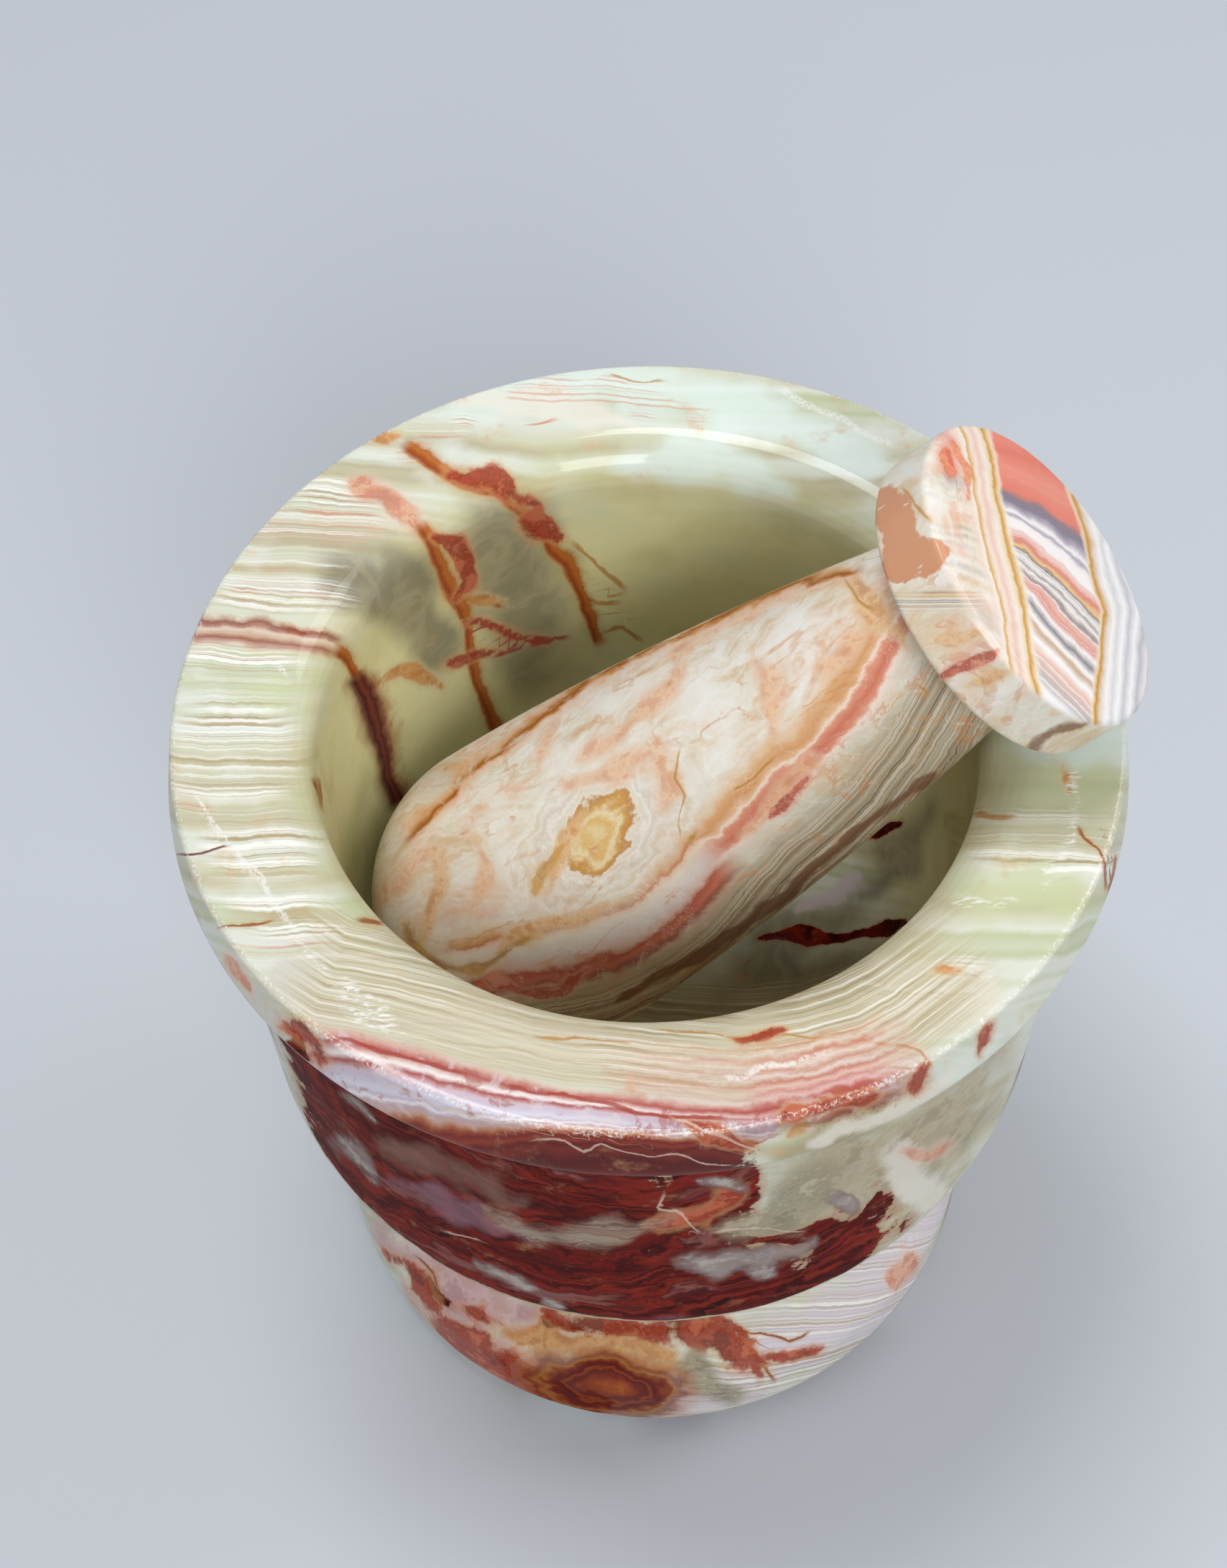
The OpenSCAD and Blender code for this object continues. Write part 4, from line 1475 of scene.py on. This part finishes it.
thread, thread_way, _ = stone.beside("upper_line")
thick = 0.3 + 1.1 * noise_along(thread_way, 0.03, 2)
thread = (thread + 30 * (swirl - 0.5) + 14 * (ragged - 0.5)) / thick
stone.lay_row(thread, UPPER_LINE, window(thread_way, 10, 760, 20) * step(mottle, 0.28, 0.46) * shown)
gold = stone.drawn("gold", ragged, 1.4)
stone.lay(0.4 * step(gold, 0.1, 0.5), "#dcbf86")
stone.lay(0.75 * step(gold, 0.4, 0.66), shades(mixed, "#8f5f20", "#b57d2f", "#cc9a48"))
stone.lay(0.4 * stone.hairline("gold", ragged, 2.5), "#dcb87c")
stone.lay(0.65 * stone.hairline("gold", ragged), "#b3792f")
stone.lay(0.6 * wild * step(combed, 0.5, 0.62), "#a08660")
stone.lay(0.6 * wild * step(combed, 0.46, 0.34), "#b9ab92")
brick = stone.drawn("brick", ragged, 1.2)
stone.lay(0.5 * step(brick, 0.15, 0.5), "#e0ab96")
stone.lay(0.9 * step(brick, 0.43, 0.56), shades(mixed, "#b5583f", "#cf7a64", "#a85046", "#d9927c"))
stone.tell("honey, salmon and gold")

# %% [markdown]
# ## The pestle's head
# The head is cut across the bands. Its end shows bows of white, grey and red between two gold veins,
# and pale lines outside them, each again a row of colours across a guide.

# %% Head of the pestle
level_line = noise_along(stone.value("picture_row") + 8 * (swirl - 0.5), 0.11, 3, 0.7)
streaked = step(stone.drawn("level", swirl, 0.8), 0.2, 0.7) * shown
stone.lay(0.85 * streaked,
          shades(level_line, "#b08a50", "#efe8dc", "#9a8f86", "#f2ede4", "#cfa468", "#e8dccb"))
left_gold = stone.beside("left_gold")[0]
right_gold = stone.beside("right_gold")[0]
left_gold = left_gold + 18 * (swirl - 0.5) + 14 * (ragged - 0.5)
right_gold = right_gold + 16 * (swirl - 0.5) + 12 * (ragged - 0.5)
bows = stone.beside("bows")[0]
bows = 0.82 * bows + 22 * (swirl - 0.5) + 6 * (ragged - 0.5)
end_face = stone.value("end_face") * shown
BOWS = [(-90, "#ea9f8c", 1), (-80, "#dc7562", 1), (-62, "#e58b78", 1), (-50, "#de7c69", 1),
        (-32, "#e79280", 1), (-12, "#e0826f", 1), (-7, "#8f7f88", 1), (0, "#8a8090", 1),
        (6, "#b9b0bb", 1), (10, "#efeaea", 1), (14, "#a79eab", 1), (18, "#efeae8", 1), (26, "#f2eeec", 1),
        (32, "#e2a797", 1), (39, "#d98c7a", 1), (43, "#e9c48e", 1), (47, "#6f6266", 1),
        (52, "#efe6e0", 1), (56, "#80757a", 1), (61, "#f0e9e4", 1), (66, "#9c8f8f", 1),
        (71, "#e6b9ab", 1), (77, "#d88f80", 1), (83, "#f1ece9", 1), (90, "#8d8688", 1),
        (96, "#efe9e6", 1), (102, "#c9a88a", 1), (110, "#f3f0ee", 1), (119, "#e6c0b2", 1),
        (138, "#bdb6b4", 1), (146, "#f1eeec", 1)]
between = step(left_gold, 2, -4) * step(right_gold, -2, 4) * end_face
left_part = step(left_gold, 30, 40) * step(swirl, 0.36, 0.6) * end_face
stone.lay_row(bows, BOWS, between | 0.5 * left_part)
bow_hair = noise_along(bows, 0.14, 2, 0.6)
stone.lay(0.6 * between * step(bows, 6, 12) * step(bow_hair, 0.52, 0.62), "#f3f0ee")
stone.lay(0.45 * between * step(bows, 2, -8) * step(bow_hair, 0.52, 0.66), "#e29c8a")
LEFT_GOLD = [(-12, "#efe6da", 0), (-7, "#efe2cc", 0.8), (-3, "#dcb982", 1), (0, "#c9974f", 1),
             (3, "#e8d2ae", 1), (9, "#f0e2d8", 0.8), (16, "#e6bfae", 0.8), (22, "#efdcd0", 0.8),
             (26, "#dfc096", 1), (28, "#cfa66a", 1), (31, "#f0e4d6", 0.9), (38, "#ecd6ca", 0.5),
             (46, "#f2ece6", 0)]
RIGHT_GOLD = [(-82, "#b9788c", 1), (-72, "#c991a2", 1), (-64, "#e6dfe0", 1), (-55, "#bcbcc2", 1),
              (-46, "#f2f0f0", 1), (-36, "#c6c6cc", 1), (-28, "#f4f2f0", 1), (-20, "#d6d4d6", 1),
              (-13, "#f3efec", 1), (-6, "#dcd0c6", 1), (-3, "#d9b27a", 1), (0, "#c08d48", 1),
              (3, "#e6cda4", 1), (8, "#f1ebe2", 0)]
stone.lay_row(left_gold, LEFT_GOLD, end_face)
stone.lay(0.85 * end_face * step(brick, 0.4, 0.6),
          shades(mixed, "#d9735a", "#e8a080", "#d98a4e", "#e28d78"))
stone.lay_row(right_gold, RIGHT_GOLD, end_face)
stone.tell("head")

# %% [markdown]
# ## The tan patch, painted edge shade and the pestle's polish
# The head's side carries one plain tan patch with a few scratches. Brown painted shade darkens the lower
# edges of head and shaft. The polish is softer than the mortar's.

# %% Tan patch, painted edge shade and polish of the pestle
tan = stone.drawn("tan", ragged, 0.7)
stone.lay(step(tan, 0.45, 0.53), shades(cloud, "#cf9673", "#d6a07e", "#cb8e6c"))
scratch = noise(stretched(upright_place, (1, 1, 0.25)), 1.3, 3, 0.6)
stone.lay(0.8 * step(tan, 0.3, 0.5) * step(scratch, 0.66, 0.7), "#efe4da")
# Painted shade: brown along the lower edges of shaft and head
brown = stone.drawn("brown", ragged, 1.0)
stone.lay(0.8 * step(brown, 0.35, 0.65), "#7a5236")
gloss = 0.22 + 0.1 * cloud
stone.polish(0.12 + 0.12 * swirl, gloss, ragged, 0.07)

# %% [markdown]
# ## Floor and light
# A pale plain floor and three softboxes, a large one above, one before the mortar and a weak one at its
# side, keep the stone's colours as they are written. The world gives the rest of the light, evenly from
# all sides, so that no shadow goes black.

# %% Floor and light
WORLD_LIGHT = 0.36
WORLD_COLOUR = (0.96, 0.98, 1, 1)
FLOOR_REACH = 3000
FLOOR_ROUGHNESS = 0.6
LIGHT_AIM = Vector((0, 0, 0.08))
SOFTBOXES = [
    ("top_softbox", (-0.15, 0.15, 1.0), 0.34, 4.2),
    ("front_softbox", (0.15, -0.85, 0.75), 0.4, 5.2),
    ("side_softbox", (0.8, 0.25, 0.6), 0.4, 2.2),
]
bm = bmesh.new()
bmesh.ops.create_grid(bm, x_segments=1, y_segments=1, size=FLOOR_REACH)
floor = finished_piece(bm, "floor")
floor_paint = bpy.data.materials.new("floor_paint")
floor_paint.use_nodes = True
floor_shader = floor_paint.node_tree.nodes["Principled BSDF"]
floor_shader.inputs["Base Color"].default_value = hue("#c2c7cf")
floor_shader.inputs["Roughness"].default_value = FLOOR_ROUGHNESS
floor.data.materials.append(floor_paint)
world = bpy.data.worlds.new("studio")
bpy.context.scene.world = world
world.use_nodes = True
backdrop = world.node_tree.nodes["Background"]
backdrop.inputs["Color"].default_value = WORLD_COLOUR
backdrop.inputs["Strength"].default_value = WORLD_LIGHT
for name, spot, size, watts in SOFTBOXES:
    lamp = bpy.data.objects.new(name, bpy.data.lights.new(name, "AREA"))
    bpy.context.scene.collection.objects.link(lamp)
    lamp.data.energy = watts
    lamp.data.size = size
    lamp.location = spot
    lamp.rotation_euler = (LIGHT_AIM - lamp.location).to_track_quat("-Z", "Y").to_euler()
bpy.context.scene.view_settings.view_transform = "Standard"
print(len(SOFTBOXES), "softboxes and a floor")
